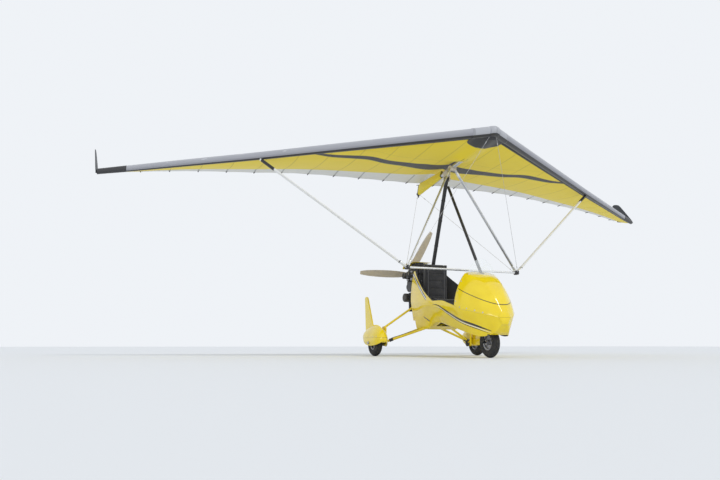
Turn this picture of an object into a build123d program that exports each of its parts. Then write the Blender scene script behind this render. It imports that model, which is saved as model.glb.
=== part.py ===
from build123d import *
import os
from math import cos, radians, sin, tan

# A two-seat weight-shift microlight: a three-wheeled open pod hung under a strut-braced flexible wing.
# Millimetres. X forward, Y to port, Z up from the ground, X = 0 over the main axle while it is built.

# Clearances
FIT = 0.3            # between pieces that seat on each other, or turn in each other

# Wheels and stance
WHEELBASE = 1690
TRACK = 1720
WHEEL_RADIUS = 190
TYRE_WIDTH = 112
NOSE_TYRE_WIDTH = 96
RIM_RADIUS = 98
MAIN_AXLE_RADIUS = 12
NOSE_AXLE_RADIUS = 8
TOW_PIN_RADIUS = 10
TOW_PIN_LENGTH = 22  # free pin outside each fork leg, for a tow bar

# Nose fork
FORK_RAKE = 15.3
FORK_LEG_RADIUS = 11
FORK_LEG_GAP = 20    # from tyre side to leg
CROWN_HEIGHT = 225   # along the steering axis, from the axle
HEAD_LENGTH = 140
HEAD_RISE = 34       # from the crown to the head tube
STEERER_RADIUS = 14
HEAD_WALL = 9
FOOT_BAR_HALF = 235
FOOT_BAR_RADIUS = 11
CROWN_RADIUS = 17
FORK_END_RADIUS = 16
FORK_END_HALF = 13

# Trike frame
BEAM_RADIUS = 25
BEAM_REAR = (-165, 450)
BEAM_FRONT = (1862, 560)
MAST_RADIUS = 28
MAST_LEAN = 21.8
HANG_BOLT = (725, 2574)
HANG_BOLT_RADIUS = 8
MAST_HEAD_HALF = 25
MAST_HEAD_DROP = 62
STRUT_RADIUS = 20
STRUT_TOP = (764, 2431)
STRUT_SLOPE = 0.5808   # forward run for each unit of drop
SEAT_RAIL_Z = 575
SEAT_RAIL_RADIUS = 12
SEAT_RAIL_HALF = 130
SEAT_RAIL_X = (215, 1040)
SEAT_POST_X = (330, 930)
SEAT_POST_RADIUS = 9
POD_HANGER_X = (260, 900, 1340)
POD_HANGER_SIZE = 56

# Wing frame
NOSE = (2050, 2860)
LEADING_SWEEP = 28.17
KEEL_RADIUS = 25
KEEL_REAR = (-232, 2572)
KEEL_PITCH = 6.12
KEEL_FRONT_X = 1925
KEEL_SOCKET_RADIUS = 21
KEEL_SOCKET_DEPTH = 60
APEX_X = 891
APEX_HALF = 60
APEX_LENGTH = 84
APEX_HEIGHT = 66
BAR_X = 1123
BAR_Z = 1168
BAR_HALF = 854
BAR_RADIUS = 14
CORNER_SIZE = (74, 52, 56)
UPRIGHT_CHORD = 56
UPRIGHT_THICK = 25
WING_STRUT_CHORD = 68
WING_STRUT_THICK = 27
WING_STRUT_Y = 2770
WIRE_RADIUS = 2

# Wing sail
SAIL_SPLIT = 0.85    # share of the chord that has two skins
HEM = 5              # thickness of the single skin band at the trailing edge
NOSE_COVER_HALF = 230
# One half of the wing, from root to tip. Columns: y, leading edge z, trailing edge x,
# chord pitch in degrees (nose up), pocket depth, pocket height above and below the chord line,
# crown of the upper skin, belly of the lower skin.
RIB_COLUMNS = "y le_z te_x pitch pocket above below crown belly".split()
RIB_TABLE = [
    (0, 2860, -150, 3.4, 112, 46, 34, 112, 48),
    (NOSE_COVER_HALF, 2843, -155, 3.3, 112, 46, 34, 112, 48),
    (1000, 2786, -200, 2.0, 108, 45, 33, 100, 44),
    (2000, 2712, -320, -1.0, 100, 42, 31, 80, 38),
    (WING_STRUT_Y, 2655, -452, -3.0, 94, 39, 29, 66, 34),
    (3600, 2603, -630, -6.5, 86, 35, 27, 52, 30),
    (4300, 2556, -800, -10.0, 76, 31, 24, 42, 26),
    (4800, 2525, -1000, -14.0, 64, 25, 20, 33, 21),
]
RIBS = [dict(zip(RIB_COLUMNS, row)) for row in RIB_TABLE]
TIP_FIN_THICK = 12
TIP_FIN_HEIGHT = 360
TIP_FIN_SWEEP = 350
POCKET_SKIN = 4
POCKET_DROP = 34     # pocket edge below the keel axis
POCKET_REAR_X = -205
POCKET_FRONT_X = 585

# Pod. One section a row. Columns: x, bottom z and half width, side crease z and half width,
# top z and half width.
POD_WALL = 8
POD_TABLE = [
    (60, 385, 215, 800, 300, 1300, 230),
    (500, 375, 235, 740, 365, 1300, 250),
    (900, 455, 235, 705, 395, 1260, 260),
    (1300, 372, 250, 665, 400, 1150, 262),
    (1600, 302, 250, 600, 385, 1042, 240),
    (1870, 243, 205, 515, 325, 930, 170),
    (2050, 300, 115, 440, 215, 730, 100),
    (2140, 395, 45, 415, 85, 500, 40),
]
HOOD_REAR_X = 1510
SILL = [(165, 1165), (920, 755), (1220, 740), (HOOD_REAR_X, 655)]
ARCH_X = (1462, 1915)
ARCH_HALF = 162
BELLY_HOLE_X = (592, 808)
BELLY_HOLE_HALF = 145
PANEL_THICK = 16
PANEL_LOW_Z = 800
SCREEN_THICK = 4
SCREEN_HALF = 215
SCREEN_TOP_Z = 1262

# Seats
SEAT_HALF = 200
SEAT_GAP = 3
FRONT_BACK_TOP_Z = 832   # low, so that the control bar passes over it

# Engine group
PROP_X = -620
PROP_Z = 1300
PROP_RADIUS = 860
PROP_SHAFT_RADIUS = 18
HUB_RADIUS = 58
HUB_LENGTH = 62
BLADE_COUNT = 3
CRANK_Z = 1085
MOUNT_TOP_Z = 1000
MOUNT_DEPTH = 34
MOUNT_PLATE = 8
ENGINE_X = (-462, -140)
CASE_HALF = 112
CASE_TOP_Z = 1175
CYLINDER_HALF = 92
BARREL_TOP_Z = 1398
HEAD_TOP_Z = 1440
HEAD_RADIUS = 68
HEAD_OFFSET = 70
FIN_REACH = 9
FIN_THICK = 5
FIN_Z = range(1200, 1396, 24)
EXHAUST_FLANGE_Y = 106
EXHAUST_Z = 1250
GEARBOX_REAR_X = -552
SILENCER_RADIUS = 68
SILENCER_HALF = 215
SILENCER_X = -368
EXHAUST_X = SILENCER_X + 60

# Main gear
KNUCKLE_Y = TRACK / 2 - 144   # hub carrier, inboard of the wheel
KNUCKLE_THICK = 26
KNUCKLE_TOP_Z = 430
LEG_RADIUS = 17
UPPER_LEG_CHORD = 62
UPPER_LEG_THICK = 30
SPAT_WALL = 6
# Wheel spat sections. Columns: x, bottom z, bottom half width, widest z, widest half width, top z.
SPAT_TABLE = [
    (-400, 268, 16, 300, 24, 336),
    (-300, 205, 62, 290, 76, 392),
    (-120, 160, 88, 270, 100, 442),
    (80, 150, 92, 260, 104, 448),
    (240, 165, 80, 255, 92, 402),
    (318, 195, 50, 255, 60, 340),
    (342, 225, 22, 258, 28, 296),
]


def v3(x, z, y=0.0):
    return Vector(x, y, z)


def rod(start, end, radius):
    """Round bar between two points."""
    path = Vector(end) - Vector(start)
    place = Plane(origin=start, z_dir=path)
    return place * Cylinder(radius, path.length, align=(Align.CENTER, Align.CENTER, Align.MIN))


def faired(start, end, chord, thick):
    """Streamlined bar between two points, its long axis towards the front."""
    path = Vector(end) - Vector(start)
    ahead = Vector(1, 0, 0) - path.normalized() * path.normalized().X
    place = Plane(origin=start, x_dir=ahead, z_dir=path)
    return extrude(place * Ellipse(chord / 2, thick / 2), amount=path.length)


def slab(x_range, y_range, z_range):
    """Box between two corners."""
    low = Vector(x_range[0], y_range[0], z_range[0])
    size = Vector(x_range[1], y_range[1], z_range[1]) - low
    return Pos(low) * Box(size.X, size.Y, size.Z, align=(Align.MIN, Align.MIN, Align.MIN))


def side_shape(points, half):
    """Side outline, extruded the same way to port and starboard."""
    outline = Plane.XZ * make_face(Polyline(*points, close=True))
    return extrude(outline, amount=half, both=True)


def starboard(shape):
    return mirror(shape, about=Plane.XZ)


def starboard_point(point):
    return Vector(point.X, -point.Y, point.Z)


def largest(shape):
    """The main body of a piece after the others are cut out of it."""
    return max(shape.solids(), key=lambda solid: solid.volume)


# Lines of the frame that more than one piece follows

def keel_point(x):
    return v3(x, KEEL_REAR[1] + (x - KEEL_REAR[0]) * tan(radians(KEEL_PITCH)))


def beam_z(x):
    run = BEAM_FRONT[0] - BEAM_REAR[0]
    return BEAM_REAR[1] + (x - BEAM_REAR[0]) * (BEAM_FRONT[1] - BEAM_REAR[1]) / run


def mast_point(z):
    return v3(HANG_BOLT[0] - (HANG_BOLT[1] - z) * tan(radians(MAST_LEAN)), z)


def steering_point(height):
    """Point on the steering axis, measured from the nose axle."""
    return v3(WHEELBASE - height * sin(radians(FORK_RAKE)), WHEEL_RADIUS + height * cos(radians(FORK_RAKE)))


BAR_CORNER = Vector(BAR_X, BAR_HALF, BAR_Z)
FORK_HALF = NOSE_TYRE_WIDTH / 2 + FORK_LEG_GAP + FORK_LEG_RADIUS
AXLE_Y = TRACK / 2


# Wing

def rib_plane(rib):
    le_x = NOSE[0] - rib["y"] * tan(radians(LEADING_SWEEP))
    pitch = radians(rib["pitch"])
    aft = Vector(-cos(pitch), 0, -sin(pitch))
    return Plane(origin=(le_x, rib["y"], rib["le_z"]), x_dir=aft, z_dir=(0, 1, 0))


def rib_marks(rib):
    """Corner points of one rib on its own plane: x aft along the chord, y up."""
    le_x = NOSE[0] - rib["y"] * tan(radians(LEADING_SWEEP))
    chord = (le_x - rib["te_x"]) / cos(radians(rib["pitch"]))
    lift = chord * 0.012
    return {
        "chord": chord,
        "pocket_top": (rib["pocket"], rib["above"]),
        "pocket_low": (rib["pocket"], -rib["below"]),
        "crown": (0.36 * chord, rib["crown"]),
        "belly": (0.42 * chord, -rib["belly"]),
        "split_top": (SAIL_SPLIT * chord, lift + HEM),
        "split_low": (SAIL_SPLIT * chord, lift),
        "end_top": (chord, HEM / 2),
        "end_low": (chord, 0),
    }


def pocket_face(rib):
    marks = rib_marks(rib)
    nose = ThreePointArc(marks["pocket_top"], (0, 0), marks["pocket_low"])
    return rib_plane(rib) * make_face([nose, Line(marks["pocket_low"], marks["pocket_top"])])


def sail_face(rib):
    marks = rib_marks(rib)
    return rib_plane(rib) * make_face([
        Line(marks["pocket_low"], marks["pocket_top"]),
        ThreePointArc(marks["pocket_top"], marks["crown"], marks["split_top"]),
        Line(marks["split_top"], marks["split_low"]),
        ThreePointArc(marks["split_low"], marks["belly"], marks["pocket_low"]),
    ])


def band_face(rib):
    marks = rib_marks(rib)
    corners = [marks[key] for key in ("split_top", "split_low", "end_low", "end_top")]
    return rib_plane(rib) * make_face(Polyline(*corners, close=True))


def make_sail_pieces():
    keel_way = rod(keel_point(KEEL_REAR[0] - 50), keel_point(KEEL_FRONT_X + 10), KEEL_RADIUS + FIT)
    sail = loft([sail_face(rib) for rib in RIBS], ruled=True) - keel_way
    pocket = loft([pocket_face(rib) for rib in RIBS[1:]], ruled=True)
    band = loft([band_face(rib) for rib in RIBS], ruled=True)
    half_nose = loft([pocket_face(rib) for rib in RIBS[:2]], ruled=True)
    return sail, pocket, band, half_nose + starboard(half_nose)


def make_tip_fin():
    """Small upswept fin on the end rib."""
    tip = RIBS[-1]
    chord = rib_marks(tip)["chord"]
    root_front, root_rear = (-6, -12), (chord * 0.80, -8)
    top_front = (TIP_FIN_SWEEP - 40, TIP_FIN_HEIGHT - 30)
    top_rear = (TIP_FIN_SWEEP + 60, TIP_FIN_HEIGHT - 40)
    face = make_face([
        Line(root_rear, root_front),
        ThreePointArc(root_front, (chord * 0.24, TIP_FIN_HEIGHT * 0.34), top_front),
        ThreePointArc(top_front, (TIP_FIN_SWEEP + 16, TIP_FIN_HEIGHT), top_rear),
        ThreePointArc(top_rear, (TIP_FIN_SWEEP + 22, TIP_FIN_HEIGHT * 0.45), root_rear),
    ])
    return extrude(rib_plane(tip) * face, amount=TIP_FIN_THICK)


def make_keel_tube():
    tube = rod(keel_point(KEEL_REAR[0]), keel_point(KEEL_FRONT_X), KEEL_RADIUS)
    mouth = keel_point(KEEL_REAR[0])
    inward = (keel_point(KEEL_FRONT_X) - mouth).normalized()
    return tube - rod(mouth - inward, mouth + inward * KEEL_SOCKET_DEPTH, KEEL_SOCKET_RADIUS)


def make_keel_pocket(sails):
    low_rear = keel_point(POCKET_REAR_X) - Vector(0, 0, POCKET_DROP)
    low_front = keel_point(POCKET_FRONT_X) - Vector(0, 0, POCKET_DROP)
    top_z = NOSE[1] - 60
    panel = side_shape([(low_rear.X, low_rear.Z), (low_front.X, low_front.Z),
                        (low_front.X - 60, top_z), (low_rear.X - 20, top_z)], POCKET_SKIN + 3)
    sleeve = rod(keel_point(POCKET_REAR_X + 8), keel_point(POCKET_FRONT_X - 8), KEEL_RADIUS + POCKET_SKIN)
    bore = rod(keel_point(POCKET_REAR_X - 60), keel_point(POCKET_FRONT_X + 60), KEEL_RADIUS + FIT)
    above_tail = slab((-600, RIBS[0]["te_x"]), (-100, 100), (RIBS[0]["le_z"] - 134, 3200))
    pocket = panel + sleeve - bore - above_tail
    for piece in sails:
        pocket = pocket - piece
    return largest(pocket)


def make_apex_fitting():
    """Block on the keel that carries the two uprights."""
    centre = keel_point(APEX_X)
    place = Plane(origin=centre - Vector(0, 0, 8), x_dir=keel_point(APEX_X + 1) - centre, z_dir=(0, 0, 1))
    block = place * Box(APEX_LENGTH, 2 * APEX_HALF - 26, APEX_HEIGHT)
    block = fillet(block.edges().filter_by(Axis.Y), 16)
    return block - rod(keel_point(APEX_X - 100), keel_point(APEX_X + 100), KEEL_RADIUS + FIT)


def make_corner():
    """Moulded fitting where bar, upright, strut and wires meet."""
    return Pos(BAR_CORNER) * fillet(Box(*CORNER_SIZE).edges(), 12)


def make_control_frame(apex, corner, pocket):
    top = keel_point(APEX_X) + Vector(0, APEX_HALF - 24, -12)
    upright = faired(top, BAR_CORNER, UPRIGHT_CHORD, UPRIGHT_THICK) - apex - corner
    bar = rod(BAR_CORNER, starboard_point(BAR_CORNER), BAR_RADIUS) - corner - starboard(corner)
    rib = next(rib for rib in RIBS if rib["y"] == WING_STRUT_Y)
    strut_top = Vector(NOSE[0] - WING_STRUT_Y * tan(radians(LEADING_SWEEP)) - 50, WING_STRUT_Y, rib["le_z"] - 5)
    wing_strut = faired(BAR_CORNER, strut_top, WING_STRUT_CHORD, WING_STRUT_THICK) - corner - pocket
    return largest(upright), largest(bar), largest(wing_strut)


def make_wires(corner, sails, nose_cover, keel_pocket, keel_tube):
    """Pitch wires from each bar corner to the nose and to the rear of the keel."""
    front_top = Vector(NOSE[0] - 75, 30, NOSE[1] - 20)
    rear_top = keel_point(POCKET_REAR_X - 14) + Vector(0, 10, 0)
    inset = Vector(CORNER_SIZE[0] / 2 - 4, 0, 0)
    wires = []
    for foot, top, blockers in ((BAR_CORNER + inset, front_top, [nose_cover] + sails),
                                (BAR_CORNER - inset, rear_top, [keel_pocket, keel_tube])):
        wire = rod(foot, top, WIRE_RADIUS) - corner
        for piece in blockers:
            wire = wire - piece
        wire = largest(wire)
        wires += [wire, starboard(wire)]
    return wires


def make_hang_bracket():
    """Collar that turns on the keel, with two cheeks down to the hang bolt."""
    centre = keel_point(HANG_BOLT[0])
    along = (keel_point(HANG_BOLT[0] + 1) - centre).normalized()
    collar = rod(centre - along * 58, centre + along * 58, KEEL_RADIUS + 11)
    inner = MAST_HEAD_HALF + FIT
    cheeks = []
    for side in (1, -1):
        outline = [(HANG_BOLT[0] - 30, HANG_BOLT[1] - 4), (HANG_BOLT[0] + 30, HANG_BOLT[1] - 4),
                   (centre.X + 52, centre.Z), (centre.X - 52, centre.Z)]
        plate = extrude(Plane.XZ * make_face(Polyline(*outline, close=True)), amount=-side * 10)
        foot = rod(v3(*HANG_BOLT), v3(*HANG_BOLT) + Vector(0, side * 10, 0), 30)
        cheeks.append(Pos(0, side * inner, 0) * (plate + foot))
    bolt = rod(v3(*HANG_BOLT) - Vector(0, inner + 22, 0), v3(*HANG_BOLT) + Vector(0, inner + 22, 0),
               HANG_BOLT_RADIUS)
    keel_way = rod(centre - along * 90, centre + along * 90, KEEL_RADIUS + FIT)
    return collar + cheeks[0] + cheeks[1] + bolt - keel_way


# Trike frame

def make_beam(pod_inside):
    """Main beam with the steering head, the seat rails and the feet that carry the pod."""
    beam = rod(v3(*BEAM_REAR), v3(*BEAM_FRONT), BEAM_RADIUS)
    head_low = CROWN_HEIGHT + HEAD_RISE
    beam = beam + rod(steering_point(head_low), steering_point(head_low + HEAD_LENGTH), STEERER_RADIUS + HEAD_WALL)
    for x in POD_HANGER_X:
        room = slab((x - POD_HANGER_SIZE / 2, x + POD_HANGER_SIZE / 2), (-POD_HANGER_SIZE / 2, POD_HANGER_SIZE / 2),
                    (0, beam_z(x)))
        beam = beam + (pod_inside & room)
    for x in SEAT_POST_X:
        for side in (1, -1):
            rail = Vector(x, side * SEAT_RAIL_HALF, SEAT_RAIL_Z)
            beam = beam + rod(v3(x, beam_z(x)), rail, SEAT_POST_RADIUS)
    for side in (1, -1):
        y = side * SEAT_RAIL_HALF
        beam = beam + rod((SEAT_RAIL_X[0], y, SEAT_RAIL_Z), (SEAT_RAIL_X[1], y, SEAT_RAIL_Z), SEAT_RAIL_RADIUS)
    return beam - rod(steering_point(CROWN_HEIGHT), steering_point(head_low + HEAD_LENGTH + 50),
                      STEERER_RADIUS + FIT)


def make_mast(beam):
    low = mast_point(BEAM_REAR[1])
    top = mast_point(HANG_BOLT[1] - MAST_HEAD_DROP)
    tube = rod(low, top, MAST_RADIUS)
    neck = rod(mast_point(HANG_BOLT[1] - MAST_HEAD_DROP - 30), v3(*HANG_BOLT), 27)
    ball = rod(v3(*HANG_BOLT) - Vector(0, MAST_HEAD_HALF, 0), v3(*HANG_BOLT) + Vector(0, MAST_HEAD_HALF, 0), 27)
    cheeks_room = slab((500, 900), (-MAST_HEAD_HALF, MAST_HEAD_HALF), (2400, 2700))
    head = (neck & cheeks_room) + ball
    bore = rod(v3(*HANG_BOLT) - Vector(0, 60, 0), v3(*HANG_BOLT) + Vector(0, 60, 0), HANG_BOLT_RADIUS + FIT)
    return tube + head - bore - beam


def strut_point(z):
    return v3(STRUT_TOP[0] + (STRUT_TOP[1] - z) * STRUT_SLOPE, z)


def make_front_strut(mast, beam):
    low_z = 590
    strut = rod(strut_point(low_z), v3(*STRUT_TOP), STRUT_RADIUS)
    foot = rod(strut_point(low_z), v3(strut_point(low_z).X, beam_z(strut_point(low_z).X)), STRUT_RADIUS)
    lug = rod(v3(*STRUT_TOP), mast_point(STRUT_TOP[1] + 20), 16)
    return strut + foot + Pos(v3(*STRUT_TOP)) * Sphere(STRUT_RADIUS) + lug - mast - beam


# Pod

def pod_face(row, shift, grow):
    x, low_z, low_half, crease_z, crease_half, top_z, top_half = row
    low_z, top_z = low_z - grow, top_z + grow
    low_half, crease_half, top_half = low_half + grow, crease_half + grow, top_half + grow
    bulge = ((crease_half + top_half) / 2 + (crease_half - top_half) * 0.22, (crease_z + top_z) / 2)
    place = Plane(origin=(x + shift, 0, 0), x_dir=(0, 1, 0), z_dir=(1, 0, 0))
    return place * make_face([
        Line((-low_half, low_z), (low_half, low_z)),
        Line((low_half, low_z), (crease_half, crease_z)),
        ThreePointArc((crease_half, crease_z), bulge, (top_half, top_z)),
        ThreePointArc((top_half, top_z), (0, top_z + 0.12 * top_half), (-top_half, top_z)),
        ThreePointArc((-top_half, top_z), (-bulge[0], bulge[1]), (-crease_half, crease_z)),
        Line((-crease_half, crease_z), (-low_half, low_z)),
    ])


def pod_form(grow=0, rear_shift=0, nose_shift=0):
    last = len(POD_TABLE) - 1
    shifts = [rear_shift if i == 0 else nose_shift if i == last else 0 for i in range(last + 1)]
    return loft([pod_face(row, shift, grow) for row, shift in zip(POD_TABLE, shifts)])


def make_pod(outer, inner, leg_ways):
    shell = outer - inner
    far = 3000
    cockpit = side_shape([(-100, far), (-100, SILL[0][1])] + SILL + [(HOOD_REAR_X, far)], 600)
    crease = [(row[0], row[3]) for row in POD_TABLE if row[0] > HOOD_REAR_X]
    hood_side = [(HOOD_REAR_X, far), SILL[-1]] + crease + [(2300, crease[-1][1]), (2300, far)]
    hood_room = side_shape(hood_side, 600)
    arch = slab(ARCH_X, (-ARCH_HALF, ARCH_HALF), (0, 372))
    belly_hole = slab(BELLY_HOLE_X, (-BELLY_HOLE_HALF, BELLY_HOLE_HALF), (300, 500))
    tub = shell - cockpit - hood_room - arch - belly_hole
    for way in leg_ways:
        tub = tub - way
    strut_way = rod(strut_point(600), strut_point(1500), STRUT_RADIUS + 5)
    hood = (shell & hood_room) - strut_way
    panel = inner & slab((HOOD_REAR_X + 4, HOOD_REAR_X + 4 + PANEL_THICK), (-400, 400), (PANEL_LOW_Z, 1400))
    return tub, hood, panel - strut_way


def make_screen(outer):
    """Small clear windscreen that stands on the hood."""
    foot_x = HOOD_REAR_X + 62
    bow = 62
    low_z, top_z = 960, SCREEN_TOP_Z
    lean = Vector(-0.26, 0, 1)
    outer_arc = ThreePointArc((foot_x, -SCREEN_HALF), (foot_x + bow, 0), (foot_x, SCREEN_HALF))
    inner_arc = ThreePointArc((foot_x - SCREEN_THICK, SCREEN_HALF), (foot_x + bow - SCREEN_THICK, 0),
                              (foot_x - SCREEN_THICK, -SCREEN_HALF))
    face = make_face([outer_arc, Line((foot_x, SCREEN_HALF), (foot_x - SCREEN_THICK, SCREEN_HALF)), inner_arc,
                      Line((foot_x - SCREEN_THICK, -SCREEN_HALF), (foot_x, -SCREEN_HALF))])
    sheet = extrude(Pos(0, 0, low_z) * face, amount=(top_z - low_z) * lean.length, dir=lean)
    front = Plane(origin=(foot_x + 200, 0, 0), x_dir=(0, 1, 0), z_dir=(1, 0, 0))
    outline = make_face([
        Line((-SCREEN_HALF - 30, low_z - 50), (SCREEN_HALF + 30, low_z - 50)),
        Line((SCREEN_HALF + 30, low_z - 50), (SCREEN_HALF + 30, 1020)),
        ThreePointArc((SCREEN_HALF + 30, 1020), (0, top_z - 4), (-SCREEN_HALF - 30, 1020)),
        Line((-SCREEN_HALF - 30, 1020), (-SCREEN_HALF - 30, low_z - 50)),
    ])
    sheet = sheet & extrude(front * outline, amount=-500)
    strut_way = rod(strut_point(900), strut_point(1500), STRUT_RADIUS + 4)
    sheet = sheet - outer - strut_way
    return largest(sheet)


# Seats

def make_seats():
    base_z = SEAT_RAIL_Z + SEAT_RAIL_RADIUS + FIT
    rear = [(228, base_z), (556, base_z), (556, 742), (520, 762), (318, 752), (338, 1348), (322, 1366),
            (288, 1366), (270, 1350), (214, 860), (210, 690)]
    front_x = 556 + SEAT_GAP
    back_z = FRONT_BACK_TOP_Z
    front = [(front_x, base_z), (1046, base_z), (1062, base_z + 20), (1060, 668), (1020, 684), (652, 664),
             (632, 690), (622, back_z - 20), (606, back_z), (575, back_z - 2), (front_x, back_z - 20)]
    return side_shape(front, SEAT_HALF), side_shape(rear, SEAT_HALF)


# Engine group

def make_engine_mount():
    """Two side plates on the mast that carry the engine on their top rails."""
    low_z = 690
    top = MOUNT_TOP_Z
    outline = [(mast_point(top).X + 20, top), (ENGINE_X[0] - 20, top), (ENGINE_X[0] - 20, top - MOUNT_DEPTH),
               (-225, top - MOUNT_DEPTH), (mast_point(low_z).X - 70, low_z), (mast_point(low_z).X + 20, low_z)]
    plate = extrude(Plane.XZ * make_face(Polyline(*outline, close=True)), amount=-MOUNT_PLATE)
    port = Pos(0, MAST_RADIUS + FIT, 0) * plate
    return port + starboard(port)


def make_engine():
    """Two-cylinder block: crankcase, finned barrels, heads, intakes, starter, pump and gearbox case."""
    front_x, rear_x = ENGINE_X[1], ENGINE_X[0]
    x_mid = (front_x + rear_x) / 2
    case = slab(ENGINE_X, (-CASE_HALF, CASE_HALF), (MOUNT_TOP_Z, CASE_TOP_Z))
    engine = fillet(case.edges().filter_by(Axis.X), 30)
    block_length = front_x - rear_x - 40
    block = RectangleRounded(block_length, 2 * CYLINDER_HALF, 40)
    engine = engine + Pos(x_mid, 0, CASE_TOP_Z - 20) * extrude(block, BARREL_TOP_Z + 20 - CASE_TOP_Z)
    fin = extrude(RectangleRounded(block_length + 2 * FIN_REACH, 2 * (CYLINDER_HALF + FIN_REACH), 46), FIN_THICK)
    for z in FIN_Z:
        engine = engine + Pos(x_mid, 0, z) * fin
    flange_foot = (EXHAUST_X, CYLINDER_HALF - 8, EXHAUST_Z)
    engine = engine + rod(flange_foot, (EXHAUST_X, EXHAUST_FLANGE_Y, EXHAUST_Z), 29)
    for offset in (-HEAD_OFFSET, HEAD_OFFSET):
        x = x_mid + offset
        engine = engine + rod((x, 0, BARREL_TOP_Z - 4), (x, 0, HEAD_TOP_Z), HEAD_RADIUS)
        engine = engine + rod((x, 40, HEAD_TOP_Z - 20), (x, 104, HEAD_TOP_Z - 20), 12)
        engine = engine + rod((x, -CYLINDER_HALF + 4, 1245), (x, -150, 1245), 22)
        engine = engine + rod((x, -134, 1186), (x, -134, 1292), 25)
        engine = engine + rod((x, -150, 1245), (x, -222, 1245), 44)
    engine = engine + rod((front_x - 2, 0, CRANK_Z), (front_x + 30, 0, CRANK_Z), 82)
    engine = engine + rod((front_x + 28, 0, CRANK_Z), (front_x + 44, 0, CRANK_Z), 52)
    engine = engine + rod((x_mid + 40, CASE_HALF - 6, 1090), (x_mid + 40, CASE_HALF + 26, 1090), 36)
    gear_front, gear_rear = rear_x + 1, GEARBOX_REAR_X
    engine = engine + rod((gear_front, 0, CRANK_Z), (gear_rear, 0, CRANK_Z), 84)
    engine = engine + rod((gear_front, 0, PROP_Z), (gear_rear, 0, PROP_Z), 70)
    engine = engine + slab((gear_rear, gear_front), (-66, 66), (CRANK_Z, PROP_Z))
    return engine + rod((gear_rear, 0, PROP_Z), (PROP_X - HUB_LENGTH / 2 - 8, 0, PROP_Z), PROP_SHAFT_RADIUS)


def make_silencer():
    z = MOUNT_TOP_Z - MOUNT_DEPTH - SILENCER_RADIUS - FIT
    drum = rod((SILENCER_X, -SILENCER_HALF, z), (SILENCER_X, SILENCER_HALF, z), SILENCER_RADIUS)
    drum = fillet(drum.edges(), 18)
    port_y = EXHAUST_FLANGE_Y + FIT
    route = FilletPolyline((EXHAUST_X, port_y, EXHAUST_Z), (EXHAUST_X, port_y + 68, EXHAUST_Z),
                           (SILENCER_X, port_y + 70, z + 60), radius=42)
    start = Plane(origin=route @ 0, z_dir=route % 0)
    pipe = sweep(start * Circle(21), path=route)
    return drum + pipe


def make_radiator():
    top = MOUNT_TOP_Z - MOUNT_DEPTH - FIT
    return slab((-288, -248), (-170, 170), (top - 290, top))


def make_cowl():
    """Curved cover plate on top of the engine."""
    thick = 5
    top = HEAD_TOP_Z + FIT
    outer_line = [(ENGINE_X[1] + 10, top + thick), (ENGINE_X[0] + 12, top + thick)]
    rear = (ENGINE_X[0] - 84, PROP_Z + 78)
    mid_out = (ENGINE_X[0] - 46, top - 16)
    face = make_face([
        Line(outer_line[0], outer_line[1]),
        ThreePointArc(outer_line[1], mid_out, rear),
        Line(rear, (rear[0] + thick, rear[1])),
        ThreePointArc((rear[0] + thick, rear[1]), (mid_out[0] + 4, mid_out[1] - 4), (outer_line[1][0], top)),
        Line((outer_line[1][0], top), (outer_line[0][0], top)),
        Line((outer_line[0][0], top), outer_line[0]),
    ])
    return extrude(Plane.XZ * face, amount=150, both=True)


def make_propeller():
    """Hub and three twisted blades; the first blade points to starboard."""
    hub = rod((PROP_X - HUB_LENGTH / 2, 0, PROP_Z), (PROP_X + HUB_LENGTH / 2, 0, PROP_Z), HUB_RADIUS)
    # Blade sections. Columns: radius from the axis, chord, thickness, blade angle in degrees.
    stations = [(40, 74, 34, 38), (170, 108, 24, 30), (420, 118, 15, 20), (700, 96, 10, 14), (PROP_RADIUS, 52, 6, 11)]
    faces = []
    for radius, chord, thick, angle in stations:
        turn = radians(angle)
        place = Plane(origin=(PROP_X, -radius, PROP_Z), x_dir=(sin(turn), 0, cos(turn)), z_dir=(0, -1, 0))
        faces.append(place * make_face([
            ThreePointArc((-chord / 2, 0), (0, thick * 0.65), (chord / 2, 0)),
            ThreePointArc((chord / 2, 0), (0, -thick * 0.35), (-chord / 2, 0)),
        ]))
    blade = loft(faces)
    axis = Axis((PROP_X, 0, PROP_Z), (1, 0, 0))
    propeller = hub
    for i in range(BLADE_COUNT):
        propeller = propeller + blade.rotate(axis, i * 360 / BLADE_COUNT)
    return propeller - rod((PROP_X - 100, 0, PROP_Z), (PROP_X + 100, 0, PROP_Z), PROP_SHAFT_RADIUS + FIT)


# Main gear

LEG_FOOT = Vector(40, KNUCKLE_Y - 20, 210)
LEG_TOPS = [Vector(150, 0, beam_z(150)), Vector(500, 0, beam_z(500))]


def make_gear(beam, mount):
    """Port side: two lower legs from the main beam, a streamlined upper leg and the hub carrier."""
    knuckle = slab((-42, 62), (KNUCKLE_Y - KNUCKLE_THICK / 2, KNUCKLE_Y + KNUCKLE_THICK / 2),
                   (WHEEL_RADIUS - 46, KNUCKLE_TOP_Z))
    knuckle = fillet(knuckle.edges().filter_by(Axis.Y), 22)
    gear = knuckle
    for top in LEG_TOPS:
        gear = gear + rod(LEG_FOOT, top, LEG_RADIUS)
    upper_top = Vector(24, MAST_RADIUS, 868)
    gear = gear + faired(Vector(0, KNUCKLE_Y, KNUCKLE_TOP_Z - 18), upper_top, UPPER_LEG_CHORD, UPPER_LEG_THICK)
    return largest(gear - beam - mount)


def make_leg_ways():
    ways = []
    for top in LEG_TOPS:
        way = rod(LEG_FOOT, top, LEG_RADIUS + 2)
        ways += [way, starboard(way)]
    return ways


def make_axle():
    return rod((0, KNUCKLE_Y + KNUCKLE_THICK / 2, WHEEL_RADIUS), (0, AXLE_Y + 112, WHEEL_RADIUS), MAIN_AXLE_RADIUS)


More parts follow.
